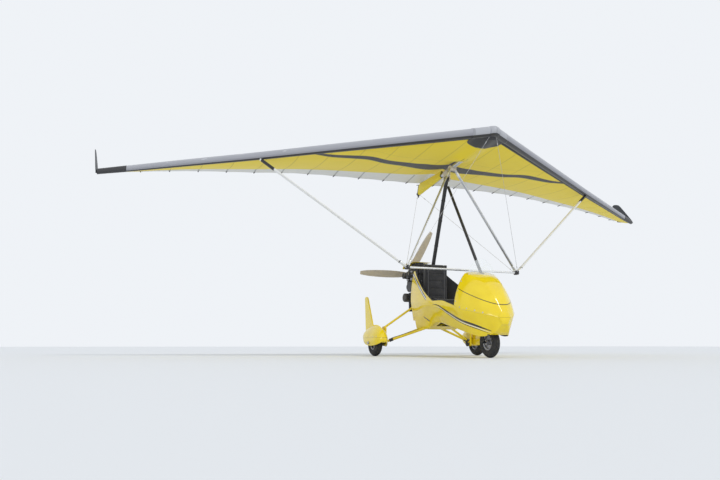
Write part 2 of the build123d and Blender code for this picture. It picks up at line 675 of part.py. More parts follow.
def spat_face(row, wall=0, drop=0):
    """One spat section, wall mm inside the outer skin, its sides carried drop mm below the edge."""
    x, low_z, low_half, wide_z, wide_half, top_z = row
    low_half, wide_half, top_z = low_half - wall, wide_half - wall, top_z - wall
    foot_z = low_z - drop
    sides = []
    if drop:
        sides = [Line((low_half, foot_z), (low_half, low_z)), Line((-low_half, low_z), (-low_half, foot_z))]
    place = Plane(origin=(x, 0, 0), x_dir=(0, 1, 0), z_dir=(1, 0, 0))
    return place * make_face([
        Line((-low_half, foot_z), (low_half, foot_z)),
        ThreePointArc((low_half, low_z), (wide_half, wide_z), (0, top_z)),
        ThreePointArc((0, top_z), (-wide_half, wide_z), (-low_half, low_z)),
    ] + sides)


def make_spat():
    """Port wheel spat: a thin shell open underneath, with a fin behind."""
    outer = loft([spat_face(row) for row in SPAT_TABLE])
    inner = loft([spat_face(row, SPAT_WALL, 60) for row in SPAT_TABLE[1:-1]])
    fin_profile = make_face([
        Line((-60, 415), (-60 - 214, 856)),
        ThreePointArc((-274, 856), (-330, 888), (-388, 868)),
        Line((-388, 868), (-352, 330)),
        Line((-352, 330), (-60, 415)),
    ])
    fin = extrude(Plane.XZ * fin_profile, amount=9, both=True)
    shell = outer + fin - inner
    shell = shell - rod((0, -200, WHEEL_RADIUS), (0, 200, WHEEL_RADIUS), MAIN_AXLE_RADIUS + FIT)
    return Pos(0, AXLE_Y, 0) * shell


# Wheels and fork

def make_tyre(width, centre):
    """Tyre turned about the wheel's own axis: rounded shoulders, flat tread, bead seat at the rim."""
    half = width / 2
    outline = make_face([
        Line((RIM_RADIUS + FIT, -half * 0.62), (RIM_RADIUS + FIT, half * 0.62)),
        ThreePointArc((RIM_RADIUS + FIT, half * 0.62), (RIM_RADIUS + 46, half), (WHEEL_RADIUS - 16, half * 0.72)),
        ThreePointArc((WHEEL_RADIUS - 16, half * 0.72), (WHEEL_RADIUS, 0), (WHEEL_RADIUS - 16, -half * 0.72)),
        ThreePointArc((WHEEL_RADIUS - 16, -half * 0.72), (RIM_RADIUS + 46, -half), (RIM_RADIUS + FIT, -half * 0.62)),
    ])
    tyre = revolve(outline, axis=Axis.Y)
    return Pos(centre) * tyre


def make_rim(width, bore, hub_half, centre):
    """Cast rim: barrel, dished disc and hub with its bearing bore."""
    half = width * 0.31
    barrel = Polyline((RIM_RADIUS, -half - 6), (RIM_RADIUS, half + 6), (RIM_RADIUS - 14, half), (RIM_RADIUS - 14, 9),
                      (34, 9), (34, hub_half), (bore, hub_half), (bore, -hub_half), (34, -hub_half), (34, -9),
                      (RIM_RADIUS - 14, -9), (RIM_RADIUS - 14, -half), close=True)
    return Pos(centre) * revolve(make_face(barrel), axis=Axis.Y)


def make_fork():
    """Steered fork: steerer, crown, two legs, axle and the foot bar on top."""
    crown = steering_point(CROWN_HEIGHT)
    top = steering_point(CROWN_HEIGHT + HEAD_RISE + HEAD_LENGTH + 30)
    fork = rod(crown, top, STEERER_RADIUS)
    fork = fork + rod(crown - Vector(0, FORK_HALF + 6, 0), crown + Vector(0, FORK_HALF + 6, 0), CROWN_RADIUS)
    fork = fork + rod(top - Vector(0, FOOT_BAR_HALF, 0), top + Vector(0, FOOT_BAR_HALF, 0), FOOT_BAR_RADIUS)
    hub = v3(WHEELBASE, WHEEL_RADIUS)
    for side in (1, -1):
        reach = Vector(0, side * FORK_HALF, 0)
        half = Vector(0, side * FORK_END_HALF, 0)
        pin = Vector(0, side * TOW_PIN_LENGTH, 0)
        fork = fork + rod(hub + reach, crown + reach, FORK_LEG_RADIUS)
        fork = fork + rod(hub + reach - half, hub + reach + half, FORK_END_RADIUS)
        fork = fork + rod(hub + reach + half, hub + reach + half + pin, TOW_PIN_RADIUS)
    ends = Vector(0, FORK_HALF, 0)
    return fork + rod(hub - ends, hub + ends, NOSE_AXLE_RADIUS)


def build():
    """All pieces by node name."""
    sail, pocket, band, nose_cover = make_sail_pieces()
    sails = [sail, starboard(sail), band, starboard(band)]
    apex, corner = make_apex_fitting(), make_corner()
    upright, bar, wing_strut = make_control_frame(apex, corner, pocket)
    keel_tube = make_keel_tube()
    keel_pocket = make_keel_pocket(sails)
    fin = make_tip_fin()
    wires = make_wires(corner, sails, nose_cover, keel_pocket, keel_tube)
    outer, inner = pod_form(), pod_form(-POD_WALL, -50, -10)
    beam = make_beam(inner)
    mast = make_mast(beam)
    mount = make_engine_mount()
    tub, hood, panel = make_pod(outer, inner, make_leg_ways())
    front_seat, rear_seat = make_seats()
    gear, axle, spat = make_gear(beam, mount), make_axle(), make_spat()
    nodes = {
        "nose_cover": nose_cover,
        "keel_tube": keel_tube,
        "keel_pocket": keel_pocket,
        "apex_fitting": apex,
        "base_bar": bar,
        "bar_corners": Compound(children=[corner, starboard(corner)]),
        "tip_fins": Compound(children=[fin, starboard(fin)]),
        "pitch_wires": Compound(children=wires),
        "hang_bracket": make_hang_bracket(),
        "mast": mast,
        "front_strut": make_front_strut(mast, beam),
        "main_beam": beam,
        "pod_tub": tub,
        "pod_hood": hood,
        "instrument_panel": panel,
        "windscreen": make_screen(outer),
        "front_seat": front_seat,
        "rear_seat": rear_seat,
        "engine_mount": mount,
        "engine": make_engine(),
        "silencer": make_silencer(),
        "radiator": make_radiator(),
        "engine_cowl": make_cowl(),
        "propeller": make_propeller(),
        "nose_fork": make_fork(),
    }
    halves = {"sail": sail, "leading_edge": pocket, "trailing_band": band, "upright": upright,
              "wing_strut": wing_strut, "gear_leg": gear, "main_axle": axle, "spat": spat,
              "main_tyre": make_tyre(TYRE_WIDTH, (0, AXLE_Y, WHEEL_RADIUS)),
              "main_rim": make_rim(TYRE_WIDTH, MAIN_AXLE_RADIUS + FIT, 62, (0, AXLE_Y, WHEEL_RADIUS))}
    for name, piece in halves.items():
        nodes[name + "_port"] = piece
        nodes[name + "_starboard"] = starboard(piece)
    nose_hub = (WHEELBASE, 0, WHEEL_RADIUS)
    nodes["nose_tyre"] = make_tyre(NOSE_TYRE_WIDTH, nose_hub)
    nodes["nose_rim"] = make_rim(NOSE_TYRE_WIDTH, NOSE_AXLE_RADIUS + FIT, NOSE_TYRE_WIDTH / 2 + 8, nose_hub)
    return nodes


def origin_shift(nodes):
    """The part's origin is the centre of its footprint box, on the ground."""
    boxes = [piece.bounding_box() for piece in nodes.values()]
    low_x = min(box.min.X for box in boxes)
    high_x = max(box.max.X for box in boxes)
    return Vector(-(low_x + high_x) / 2, 0, 0)


NODES = build()
SHIFT = origin_shift(NODES)
os.makedirs("parts", exist_ok=True)
for node_name, node_shape in NODES.items():
    export_step(Pos(SHIFT) * node_shape, "parts/" + node_name + ".step")
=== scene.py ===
import math
import bpy
from mathutils import Matrix, Vector


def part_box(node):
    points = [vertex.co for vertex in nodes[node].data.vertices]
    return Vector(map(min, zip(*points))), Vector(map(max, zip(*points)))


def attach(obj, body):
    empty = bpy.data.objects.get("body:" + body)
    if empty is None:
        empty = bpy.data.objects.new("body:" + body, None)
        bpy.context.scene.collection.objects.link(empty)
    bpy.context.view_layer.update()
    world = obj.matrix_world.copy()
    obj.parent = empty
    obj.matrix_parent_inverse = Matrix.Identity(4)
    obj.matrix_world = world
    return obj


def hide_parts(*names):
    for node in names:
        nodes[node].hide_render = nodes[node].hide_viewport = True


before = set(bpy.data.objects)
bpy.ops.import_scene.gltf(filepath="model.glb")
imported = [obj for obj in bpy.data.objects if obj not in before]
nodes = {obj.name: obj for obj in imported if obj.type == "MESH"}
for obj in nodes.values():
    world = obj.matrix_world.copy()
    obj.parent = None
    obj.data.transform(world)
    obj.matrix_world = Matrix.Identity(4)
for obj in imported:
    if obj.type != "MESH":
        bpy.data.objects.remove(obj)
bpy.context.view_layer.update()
bpy.ops.object.select_all(action="DESELECT")


# Upper skin of the wing, one half a side. White polyester sailcloth in one panel from the leading edge pocket
# to the scalloped trailing edge, stretched over bent battens whose pockets show as low ridges, with their
# shadow painted on the cloth in darker bands and thin dark lines.

class Reading:
    """An output of a shader node that takes part in plain arithmetic."""

    def __init__(self, finish, link):
        self.finish, self.link = finish, link

    def sum_of(self, operation, first, second=0.0):
        return self.finish.node("ShaderNodeMath", {"operation": operation}, {0: first, 1: second})

    def __add__(self, other):
        return self.sum_of("ADD", self, other)

    def __radd__(self, other):
        return self.sum_of("ADD", other, self)

    def __sub__(self, other):
        return self.sum_of("SUBTRACT", self, other)

    def __rsub__(self, other):
        return self.sum_of("SUBTRACT", other, self)

    def __mul__(self, other):
        return self.sum_of("MULTIPLY", self, other)

    def __rmul__(self, other):
        return self.sum_of("MULTIPLY", other, self)

    def __truediv__(self, other):
        return self.sum_of("DIVIDE", self, other)

    def __abs__(self):
        return self.sum_of("ABSOLUTE", self)

    def wave(self, length):
        """1 on every whole length, 0 halfway between."""
        return self.sum_of("COSINE", self * (2 * math.pi / length)) * 0.5 + 0.5

    def off_line(self, spacing, first=0.0):
        """Distance to the nearest of the lines that stand a spacing apart."""
        return self.sum_of("PINGPONG", self - first, spacing / 2)


class Finish:
    """A material of nodes round one Principled shader, on object or sheet coordinates in metres."""

    def __init__(self, name, roughness=0.5, metallic=0.0, sheet=False, constants=None):
        self.material = bpy.data.materials.new(name)
        self.material.use_nodes = True
        self.tree = self.material.node_tree
        self.shader = self.tree.nodes["Principled BSDF"]
        self.shader.inputs["Roughness"].default_value = roughness
        self.shader.inputs["Metallic"].default_value = metallic
        for socket, value in (constants or {}).items():
            self.shader.inputs[socket].default_value = value
        self.where = self.node("ShaderNodeTexCoord", {}, {}, "UV" if sheet else "Object")
        self.x = self.node("ShaderNodeSeparateXYZ", {}, {0: self.where}, "X")
        self.y = self.node("ShaderNodeSeparateXYZ", {}, {0: self.where}, "Y")
        self.z = self.node("ShaderNodeSeparateXYZ", {}, {0: self.where}, "Z")

    def node(self, kind, settings, inputs, output=0):
        """Adds a node, with its settings first and then its inputs, and gives one of its outputs."""
        made = self.tree.nodes.new(kind)
        for key, value in settings.items():
            if key == "points":
                curve = made.mapping.curves[0]
                for i, (across, up) in enumerate(value):
                    if i < 2:
                        curve.points[i].location = (across, up)
                    else:
                        curve.points.new(across, up)
                made.mapping.update()
            else:
                setattr(made, key, value)
        for key, value in inputs.items():
            socket = made.inputs[key]
            if isinstance(value, Reading):
                self.tree.links.new(value.link, socket)
            elif socket.type == "RGBA" and len(value) == 3:
                socket.default_value = (*value, 1)
            else:
                socket.default_value = value
        return Reading(self, made.outputs[output])

    def noise(self, scale, detail=3.0, stretch=(1, 1, 1), rough=0.5):
        place = self.node("ShaderNodeMapping", {}, {"Vector": self.where, "Scale": stretch})
        return self.node("ShaderNodeTexNoise", {}, {"Vector": place, "Scale": scale, "Detail": detail,
                                                    "Roughness": rough})

    def soft(self, value, low, high):
        """0 at low and 1 at high, with a smooth run between."""
        return self.node("ShaderNodeMapRange", {"interpolation_type": "SMOOTHSTEP"},
                         {"Value": value, "From Min": low, "From Max": high})

    def mix(self, share, first, second):
        return self.node("ShaderNodeMix", {"data_type": "RGBA"}, {0: share, 6: first, 7: second}, 2)

    def bump(self, height, depth):
        """Feeds a height from 0 to about 1, depth metres deep, to the shader's normal."""
        normal = self.node("ShaderNodeBump", {}, {"Height": height, "Distance": depth, "Strength": 0.9})
        self.feed("Normal", normal)

    def feed(self, socket, value):
        if isinstance(value, Reading):
            self.tree.links.new(value.link, self.shader.inputs[socket])
        else:
            self.shader.inputs[socket].default_value = value if isinstance(value, float) else (*value, 1)


# Places in the wing, in metres. The frame's x is the main axle's x plus the distance ahead of it.
AXLE_X = (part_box("main_rim_port")[0].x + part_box("main_rim_port")[1].x) / 2
NOSE_X = AXLE_X + 2.050
SWEEP = math.tan(math.radians(28.17))
SPLIT = 0.85
RIB_NAMES = "y le_z te_x pitch pocket above below crown belly".split()
RIB_TABLE = [
    (0.0, 2.860, -0.150, 3.4, 0.112, 0.046, 0.034, 0.112, 0.048),
    (0.23, 2.843, -0.155, 3.3, 0.112, 0.046, 0.034, 0.112, 0.048),
    (1.0, 2.786, -0.200, 2.0, 0.108, 0.045, 0.033, 0.100, 0.044),
    (2.0, 2.712, -0.320, -1.0, 0.100, 0.042, 0.031, 0.080, 0.038),
    (2.77, 2.655, -0.452, -3.0, 0.094, 0.039, 0.029, 0.066, 0.034),
    (3.6, 2.603, -0.630, -6.5, 0.086, 0.035, 0.027, 0.052, 0.030),
    (4.3, 2.556, -0.800, -10.0, 0.076, 0.031, 0.024, 0.042, 0.026),
    (4.8, 2.525, -1.000, -14.0, 0.064, 0.025, 0.020, 0.033, 0.021),
]
BATTEN_GAP = 0.40
FIRST_BATTEN = 0.24


def smooth_row(table, at):
    """Values of a table at a place in its first column, on a smooth line through its rows."""
    at = min(max(at, table[0][0]), table[-1][0])
    i = max(k for k in range(len(table) - 1) if table[k][0] <= at)
    before, low, high, after = (table[max(0, min(k, len(table) - 1))] for k in (i - 1, i, i + 1, i + 2))
    run = high[0] - low[0]
    t = (at - low[0]) / run
    values = []
    for b, p, q, a in zip(before, low, high, after):
        slope_low = (q - b) / (high[0] - before[0]) * run
        slope_high = (a - p) / (after[0] - low[0]) * run
        values.append((2 * t**3 - 3 * t**2 + 1) * p + (t**3 - 2 * t**2 + t) * slope_low
                      + (3 * t**2 - 2 * t**3) * q + (t**3 - t**2) * slope_high)
    return values


def rib_at(y):
    """Rib values at a distance y from the keel."""
    y = min(max(y, 0.0), RIB_TABLE[-1][0])
    values = dict(zip(RIB_NAMES, smooth_row(RIB_TABLE, y)))
    values["y"] = y
    values["le_x"] = NOSE_X - y * SWEEP
    values["chord"] = (values["le_x"] - AXLE_X - values["te_x"]) / math.cos(math.radians(values["pitch"]))
    return values


def arc_point(start, middle, end, t):
    """Point and outward direction at share t of the circular arc from start through middle to end."""
    (ax, ay), (bx, by), (cx, cy) = start, middle, end
    d = 2 * (ax * (by - cy) + bx * (cy - ay) + cx * (ay - by))
    a2, b2, c2 = ax * ax + ay * ay, bx * bx + by * by, cx * cx + cy * cy
    ux = (a2 * (by - cy) + b2 * (cy - ay) + c2 * (ay - by)) / d
    uy = (a2 * (cx - bx) + b2 * (ax - cx) + c2 * (bx - ax)) / d
    first = math.atan2(ay - uy, ax - ux)
    whole = (math.atan2(cy - uy, cx - ux) - first) % (2 * math.pi)
    if (math.atan2(by - uy, bx - ux) - first) % (2 * math.pi) > whole:
        whole -= 2 * math.pi
    turn = first + t * whole
    radius = math.hypot(ax - ux, ay - uy)
    return (ux + radius * math.cos(turn), uy + radius * math.sin(turn)), (math.cos(turn), math.sin(turn))


def on_wing(y, s, out=0.0):
    """Point on the wing's skin, and its distance aft. s runs from -1 at the trailing edge over the top to 0
    at the pocket, to 1 round the leading edge, and to 2 at the rear edge of the lower skin."""
    r = rib_at(abs(y))
    chord, lift = r["chord"], r["chord"] * 0.012
    top, low = (r["pocket"], r["above"]), (r["pocket"], -r["below"])
    between = 0.5 - 0.5 * math.cos(2 * math.pi * (abs(y) - FIRST_BATTEN) / BATTEN_GAP)
    if s < -SPLIT:
        t = (-s - SPLIT) / (1 - SPLIT)
        aft, up = (SPLIT + (1 - SPLIT) * t) * chord, (lift + 0.005) * (1 - t) + 0.0025 * t
        aft -= 0.014 * between * t * min(1, chord)
        way = (0, 1)
    elif s < 0:
        (aft, up), way = arc_point(top, (0.36 * chord, r["crown"]), (SPLIT * chord, lift + 0.005), -s / SPLIT)
        up -= 0.004 * between * math.sin(math.pi * -s / SPLIT)
    elif s <= 1:
        (aft, up), way = arc_point(top, (0, 0), low, s)
    else:
        split_low = (SPLIT * chord, lift + 0.0035)
        (aft, up), way = arc_point(low, (0.42 * chord, -r["belly"]), split_low, s - 1)
        up += 0.003 * between * math.sin(math.pi * (s - 1))
    aft, up = aft + way[0] * out, up + way[1] * out
    turn = math.radians(r["pitch"])
    rounded = math.sqrt(y * y + 0.0009) - 0.03 if abs(y) < 0.3 else abs(y) - 0.03 * (1 - 0.03 / 0.6)
    le_x = NOSE_X - max(rounded, 0) * SWEEP if s > 0 else r["le_x"]
    le_x = r["le_x"] if abs(y) >= 0.06 else le_x
    return Vector((le_x - aft * math.cos(turn) - up * math.sin(turn), y,
                   r["le_z"] - aft * math.sin(turn) + up * math.cos(turn))), aft


def select_only(*pieces):
    bpy.ops.object.select_all(action="DESELECT")
    for piece in pieces:
        piece.select_set(True)
    bpy.context.view_layer.objects.active = pieces[-1]


def turned_outward(piece):
    select_only(piece)
    bpy.ops.object.mode_set(mode="EDIT")
    bpy.ops.mesh.select_all(action="SELECT")
    bpy.ops.mesh.normals_make_consistent(inside=False)
    bpy.ops.object.mode_set(mode="OBJECT")


def laid_sheet(name, columns, rows, place, thick=0.0012):
    """Cloth: a grid whose points place(u, v) sets, with a sheet map in metres, thickened and smooth."""
    bpy.ops.mesh.primitive_grid_add(x_subdivisions=columns, y_subdivisions=rows, size=1)
    sheet = bpy.context.object
    sheet.name = name
    flat = []
    for point in sheet.data.vertices:
        where, on_cloth = place(point.co.x + 0.5, point.co.y + 0.5)
        point.co = where
        flat.append(on_cloth)
    layer = sheet.data.uv_layers[0].data
    for loop in sheet.data.loops:
        layer[loop.index].uv = flat[loop.vertex_index]
    bpy.ops.object.shade_smooth()
    solid = sheet.modifiers.new("cloth", "SOLIDIFY")
    solid.thickness = thick
    solid.offset = 0
    bpy.ops.object.modifier_apply(modifier=solid.name)
    return sheet


def skin(name, first_y, last_y, first_s, last_s, columns, rows, out=0.0, thick=0.0012):
    """Cloth on the wing's own surface, between two ribs and two places round the section."""
    def place(u, v):
        y = first_y + (last_y - first_y) * u
        where, aft = on_wing(y, first_s + (last_s - first_s) * v, out)
        return where, (abs(y), aft)

    return laid_sheet(name, columns, rows, place, thick)


def dressed(piece, body, slot, finish, *stands_for):
    """Last step for each piece: its finish, the body it moves with, the nodes it stands for. The slot is not
    used.
    """
    piece.data.materials.clear()
    piece.data.materials.append(finish.material)
    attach(piece, body)
    if stands_for:
        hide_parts(*stands_for)
    return piece


def sailcloth(name, colour, shade):
    """Woven polyester with its ripstop squares, soft creases that run chordwise, and a little soiling."""
    cloth = Finish(name, roughness=0.62, sheet=True, constants={"Sheen Weight": 0.15})
    across, along = cloth.x.off_line(0.006), cloth.y.off_line(0.006)
    squares = cloth.soft(across, 0.0009, 0.0003) + cloth.soft(along, 0.0009, 0.0003)
    creases = cloth.noise(2.2, 4, (3.0, 0.8, 1))
    soil = cloth.noise(1.3, 5, (1, 1, 1), 0.65)
    tone = cloth.mix(cloth.soft(soil, 0.35, 0.8) * 0.35, colour, shade)
    tone = cloth.mix(squares * 0.10, tone, shade)
    cloth.height = squares * 0.05 + creases * 0.9
    return cloth, tone


WHITE_CLOTH = (0.80, 0.80, 0.78)
white_cloth, tone = sailcloth("white_sailcloth", WHITE_CLOTH, (0.60, 0.60, 0.58))
batten_pocket_and_shadow = white_cloth.soft(white_cloth.x.off_line(BATTEN_GAP, FIRST_BATTEN), 0.016, 0.012)
stitches = white_cloth.soft(abs(white_cloth.x.off_line(BATTEN_GAP, FIRST_BATTEN) - 0.012), 0.0016, 0.0006)
# Painted shadow of the batten pockets: the cloth is darker over each pocket.
tone = white_cloth.mix(batten_pocket_and_shadow * 0.30, tone, (0.40, 0.40, 0.39))
tone = white_cloth.mix(stitches * 0.5, tone, (0.30, 0.30, 0.30))
# Painted shadow: a thin dark line along the edge of each batten pocket.
painted_batten_shadow = white_cloth.soft(white_cloth.x.off_line(BATTEN_GAP, FIRST_BATTEN), 0.006, 0.004)
tone = white_cloth.mix(painted_batten_shadow * 0.55, tone, (0.16, 0.16, 0.16))
white_cloth.feed("Base Color", tone)
white_cloth.bump(white_cloth.height + batten_pocket_and_shadow * 1.4, 0.002)

for side, sign in (("port", 1), ("starboard", -1)):
    top_skin = skin(f"upper_skin_{side}", 0.0, 4.8 * sign, 0.0, -1.0, 192, 40)
    if sign > 0:
        turned_outward(top_skin)
    dressed(top_skin, "wing", "sail_white", white_cloth, f"sail_{side}", f"trailing_band_{side}")


# Lower skin, one half a side: yellow sailcloth from the pocket to the seam that joins it to the upper skin.
# It is sagged over the keel tube at the root, and has a black wavy stripe and fine batten seams.

KEEL_DROP = 0.031


def keel_z(x):
    return 2.572 + (x - AXLE_X + 0.232) * math.tan(math.radians(6.12))


yellow_cloth, tone = sailcloth("yellow_sailcloth", (0.90, 0.70, 0.006), (0.78, 0.58, 0.005))
span, aft = yellow_cloth.x, yellow_cloth.y
seam = yellow_cloth.soft(span.off_line(BATTEN_GAP, FIRST_BATTEN), 0.009, 0.004)
tone = yellow_cloth.mix(seam * 0.45, tone, (0.40, 0.30, 0.005))
lip = yellow_cloth.soft(aft - 0.165 + span * 0.014, 0.002, -0.002)
# Middle and half width of the black stripe behind the leading edge, over 5 m of span, with its ripple.
stripe_line = yellow_cloth.node("ShaderNodeFloatCurve", {"points": [
    (0.0, 0.59), (1.0, 0.0), (0.05, 0.575), (0.15, 0.42), (0.312, 0.175), (0.40, 0.07), (0.46, 0.0)]},
    {"Value": span / 5.0}) * 2.2
stripe_line = stripe_line + (span.wave(0.86) - 0.5) * 0.055
stripe_half = yellow_cloth.node("ShaderNodeFloatCurve", {"points": [
    (0.0, 0.60), (1.0, 0.0), (0.05, 0.66), (0.10, 0.52), (0.15, 0.42), (0.312, 0.31), (0.42, 0.13),
                                                                    (0.46, 0.0)]},
    {"Value": span / 5.0}) * 0.2
stripe = yellow_cloth.soft(abs(aft - stripe_line) - stripe_half, 0.002, -0.002)
# A spanwise seam ahead of the stripe, and the zipped slit in the skin ahead of the apex.
span_seam = yellow_cloth.soft(abs(aft - stripe_line + stripe_half + 0.20), 0.004, 0.001)
tone = yellow_cloth.mix(span_seam * 0.5, tone, (0.40, 0.30, 0.005))
slit_half = (aft - 0.80) * 0.075
slit = (yellow_cloth.soft(span - slit_half, 0.002, -0.002) * yellow_cloth.soft(aft, 0.80, 0.81)
        * yellow_cloth.soft(aft, 1.36, 1.35))
zip_line = (yellow_cloth.soft(abs(span - slit_half - 0.030), 0.005, 0.003) * yellow_cloth.soft(aft, 0.76,
                                                                                               0.77)
            * yellow_cloth.soft(aft, 1.12, 1.11))
black_share = yellow_cloth.node("ShaderNodeMath", {"operation": "MAXIMUM"}, {0: stripe, 1: lip})
black_share = yellow_cloth.node("ShaderNodeMath", {"operation": "MAXIMUM"}, {0: black_share, 1: slit})
black_share = yellow_cloth.node("ShaderNodeMath", {"operation": "MAXIMUM"},
                                {0: black_share, 1: zip_line * 0.8})
# Behind the seam the lower skin is white, as the band at the trailing edge.
rear_seam = yellow_cloth.node("ShaderNodeFloatCurve", {"points": [
    (0.0, 0.800), (1.0, 0.125), (0.2, 0.74), (0.4, 0.665), (0.6, 0.575), (0.8, 0.43), (0.92, 0.27)]},
    {"Value": span / 5.0}) * 2.2
tone = yellow_cloth.mix(yellow_cloth.soft(aft - rear_seam, -0.001, 0.001), tone, (0.80, 0.80, 0.78))
tone = yellow_cloth.mix(black_share, tone, (0.028, 0.028, 0.03))
yellow_cloth.feed("Base Color", tone)
yellow_cloth.bump(yellow_cloth.height + seam * 0.8 + span_seam * 0.5, 0.002)

for side, sign in (("port", 1), ("starboard", -1)):
    def place(u, v, sign=sign):
        y = 4.8 * sign * u**1.25
        where, aft = on_wing(y, 1.0 + v)
        sag = max(0.0, 1 - abs(y) / 0.20)
        ahead = min(1.0, max(0.0, (where.x - AXLE_X - 0.98) / 0.22))
        low = min(where.z, keel_z(where.x) - KEEL_DROP)
        where.z += (low - where.z) * (sag * sag * (3 - 2 * sag)) * ahead * min(1, v * 12)
        return where, (abs(y), aft)

    under = laid_sheet(f"lower_skin_{side}", 160, 48, place)
    if sign < 0:
        turned_outward(under)
    dressed(under, "wing", "sail_yellow", yellow_cloth, f"sail_{side}")


# Leading edge pockets: stiffened silver grey cloth bent round the leading edge tube, black on the lower
# third, sewn to both skins.

pocket_cloth, tone = sailcloth("pocket_cloth", (0.42, 0.43, 0.46), (0.27, 0.28, 0.31))
around = pocket_cloth.y
# Painted shade: the silver grows darker round the nose towards the underside.
tone = pocket_cloth.mix(pocket_cloth.soft(around, 0.22, 0.64) * 0.55, tone, (0.20, 0.20, 0.235))
under_share = pocket_cloth.soft(around, 0.648, 0.652)
tone = pocket_cloth.mix(under_share, tone, (0.028, 0.028, 0.03))
# Painted highlights: near-white streaks along the span on the silver part, standing in for glints.
painted_pocket_glint = pocket_cloth.soft(pocket_cloth.noise(3.0, 1, (1.6, 5, 1)), 0.765, 0.78)
tone = pocket_cloth.mix(painted_pocket_glint * (1 - under_share), tone, (0.80, 0.81, 0.82))
pocket_cloth.feed("Base Color", tone)
pocket_cloth.bump(pocket_cloth.height, 0.0015)
pocket_cloth.shader.inputs["Roughness"].default_value = 0.42

for side, sign in (("port", 1), ("starboard", -1)):
    def place(u, v, sign=sign):
        y = (0.05 + 4.75 * u) * sign
        return on_wing(y, v, 0.0008)[0], (abs(y), v)

    pocket = laid_sheet(f"edge_pocket_{side}", 150, 20, place)
    if sign < 0:
        turned_outward(pocket)
    dressed(pocket, "wing", "pocket_grey", pocket_cloth, f"leading_edge_{side}")


# Nose cover: a fitted cloth cap over the joint of the two leading edges, held by hook tape, silver above and
# black below with a flap.

cover_cloth, tone = sailcloth("cover_cloth", (0.030, 0.030, 0.033), (0.055, 0.055, 0.06))
cover_cloth.feed("Base Color", tone)
cover_cloth.bump(cover_cloth.height, 0.0015)

nose_cloth, tone = sailcloth("nose_cloth", (0.42, 0.43, 0.46), (0.27, 0.28, 0.31))
black_part = nose_cloth.soft(nose_cloth.y, 0.660, 0.666)
hook_tape = nose_cloth.soft(abs(abs(nose_cloth.x) - 0.245), 0.009, 0.008) * (1 - black_part)
middle_seam = nose_cloth.soft(abs(nose_cloth.x), 0.004, 0.002)
tone = nose_cloth.mix(hook_tape * 0.35, tone, (0.10, 0.10, 0.11))
tone = nose_cloth.mix(middle_seam * 0.6, tone, (0.12, 0.12, 0.13))
tone = nose_cloth.mix(black_part, tone, (0.028, 0.028, 0.03))
nose_cloth.feed("Base Color", tone)
nose_cloth.bump(nose_cloth.height + middle_seam * 0.8 + hook_tape * 0.5, 0.0015)
nose_cloth.shader.inputs["Roughness"].default_value = 0.42


def cover_place(u, v):
    y = -0.26 + 0.52 * u
    return on_wing(y, -0.035 + 1.035 * v, 0.0035)[0], (y, v)


cover = laid_sheet("nose_cap", 48, 36, cover_place, 0.0015)
dressed(cover, "wing", "cover_black", nose_cloth, "nose_cover")


def flap_place(u, v):
    y = -0.25 + 0.50 * u
    back = 0.90 + v * (0.115 + 0.145 * math.sqrt(max(0.0, 1 - (y / 0.2501) ** 2)))
    where, aft = on_wing(y, back, 0.005)
    sag = max(0.0, 1 - abs(y) / 0.20)
    ramp = min(1.0, max(0.0, (back - 0.90) / 0.11))
    low = min(where.z, keel_z(where.x) - KEEL_DROP - 0.007)
    where.z += (low - where.z) * sag * sag * (3 - 2 * sag) * ramp * ramp * (3 - 2 * ramp)
    return where, (y + 1.0, aft)


flap = laid_sheet("nose_flap", 40, 28, flap_place, 0.0015)
dressed(flap, "wing", "cover_black", cover_cloth)


# Ends of the wing: a black end panel sewn over the last rib, and a black sleeve over the end of the leading
# edge.

for side, sign in (("port", 1), ("starboard", -1)):
    def panel_place(u, v, sign=sign):
        upper, aft = on_wing(4.8 * sign, -u)
        lower, _ = on_wing(4.8 * sign, 1 + min(u / SPLIT, 1.0) if u <= SPLIT else 2.0)
        if u > SPLIT:
            lower = upper
        where = upper.lerp(lower, v)
        where.y = (4.8 + 0.0015) * sign
        return where, (aft, v * 0.05)

    panel = laid_sheet(f"end_panel_{side}", 30, 6, panel_place)
    dressed(panel, "wing", "cover_black", cover_cloth)

    def sleeve_place(u, v, sign=sign):
        y = (4.42 + 0.38 * u) * sign
        s = -0.10 + 1.16 * v
        return on_wing(y, s, 0.003)[0], (abs(y), v)

    sleeve = laid_sheet(f"end_sleeve_{side}", 20, 30, sleeve_place)
    dressed(sleeve, "wing", "cover_black", cover_cloth)


# Tip fins: thin upswept blades of moulded black plastic on the end ribs, lens shaped in section, that lean
# outwards and are thickest at the root.

def moulded(name, columns, rows, place):
    """Closed or tubular form: a grid whose points place(u, v) sets, merged where its edges meet."""
    bpy.ops.mesh.primitive_grid_add(x_subdivisions=columns, y_subdivisions=rows, size=1)
    form = bpy.context.object
    form.name = name
    for point in form.data.vertices:
        point.co = place(point.co.x + 0.5, point.co.y + 0.5)
    bpy.ops.object.mode_set(mode="EDIT")
    bpy.ops.mesh.select_all(action="SELECT")
    bpy.ops.mesh.remove_doubles(threshold=0.00005)
    bpy.ops.mesh.normals_make_consistent(inside=False)
    bpy.ops.object.mode_set(mode="OBJECT")
    return form


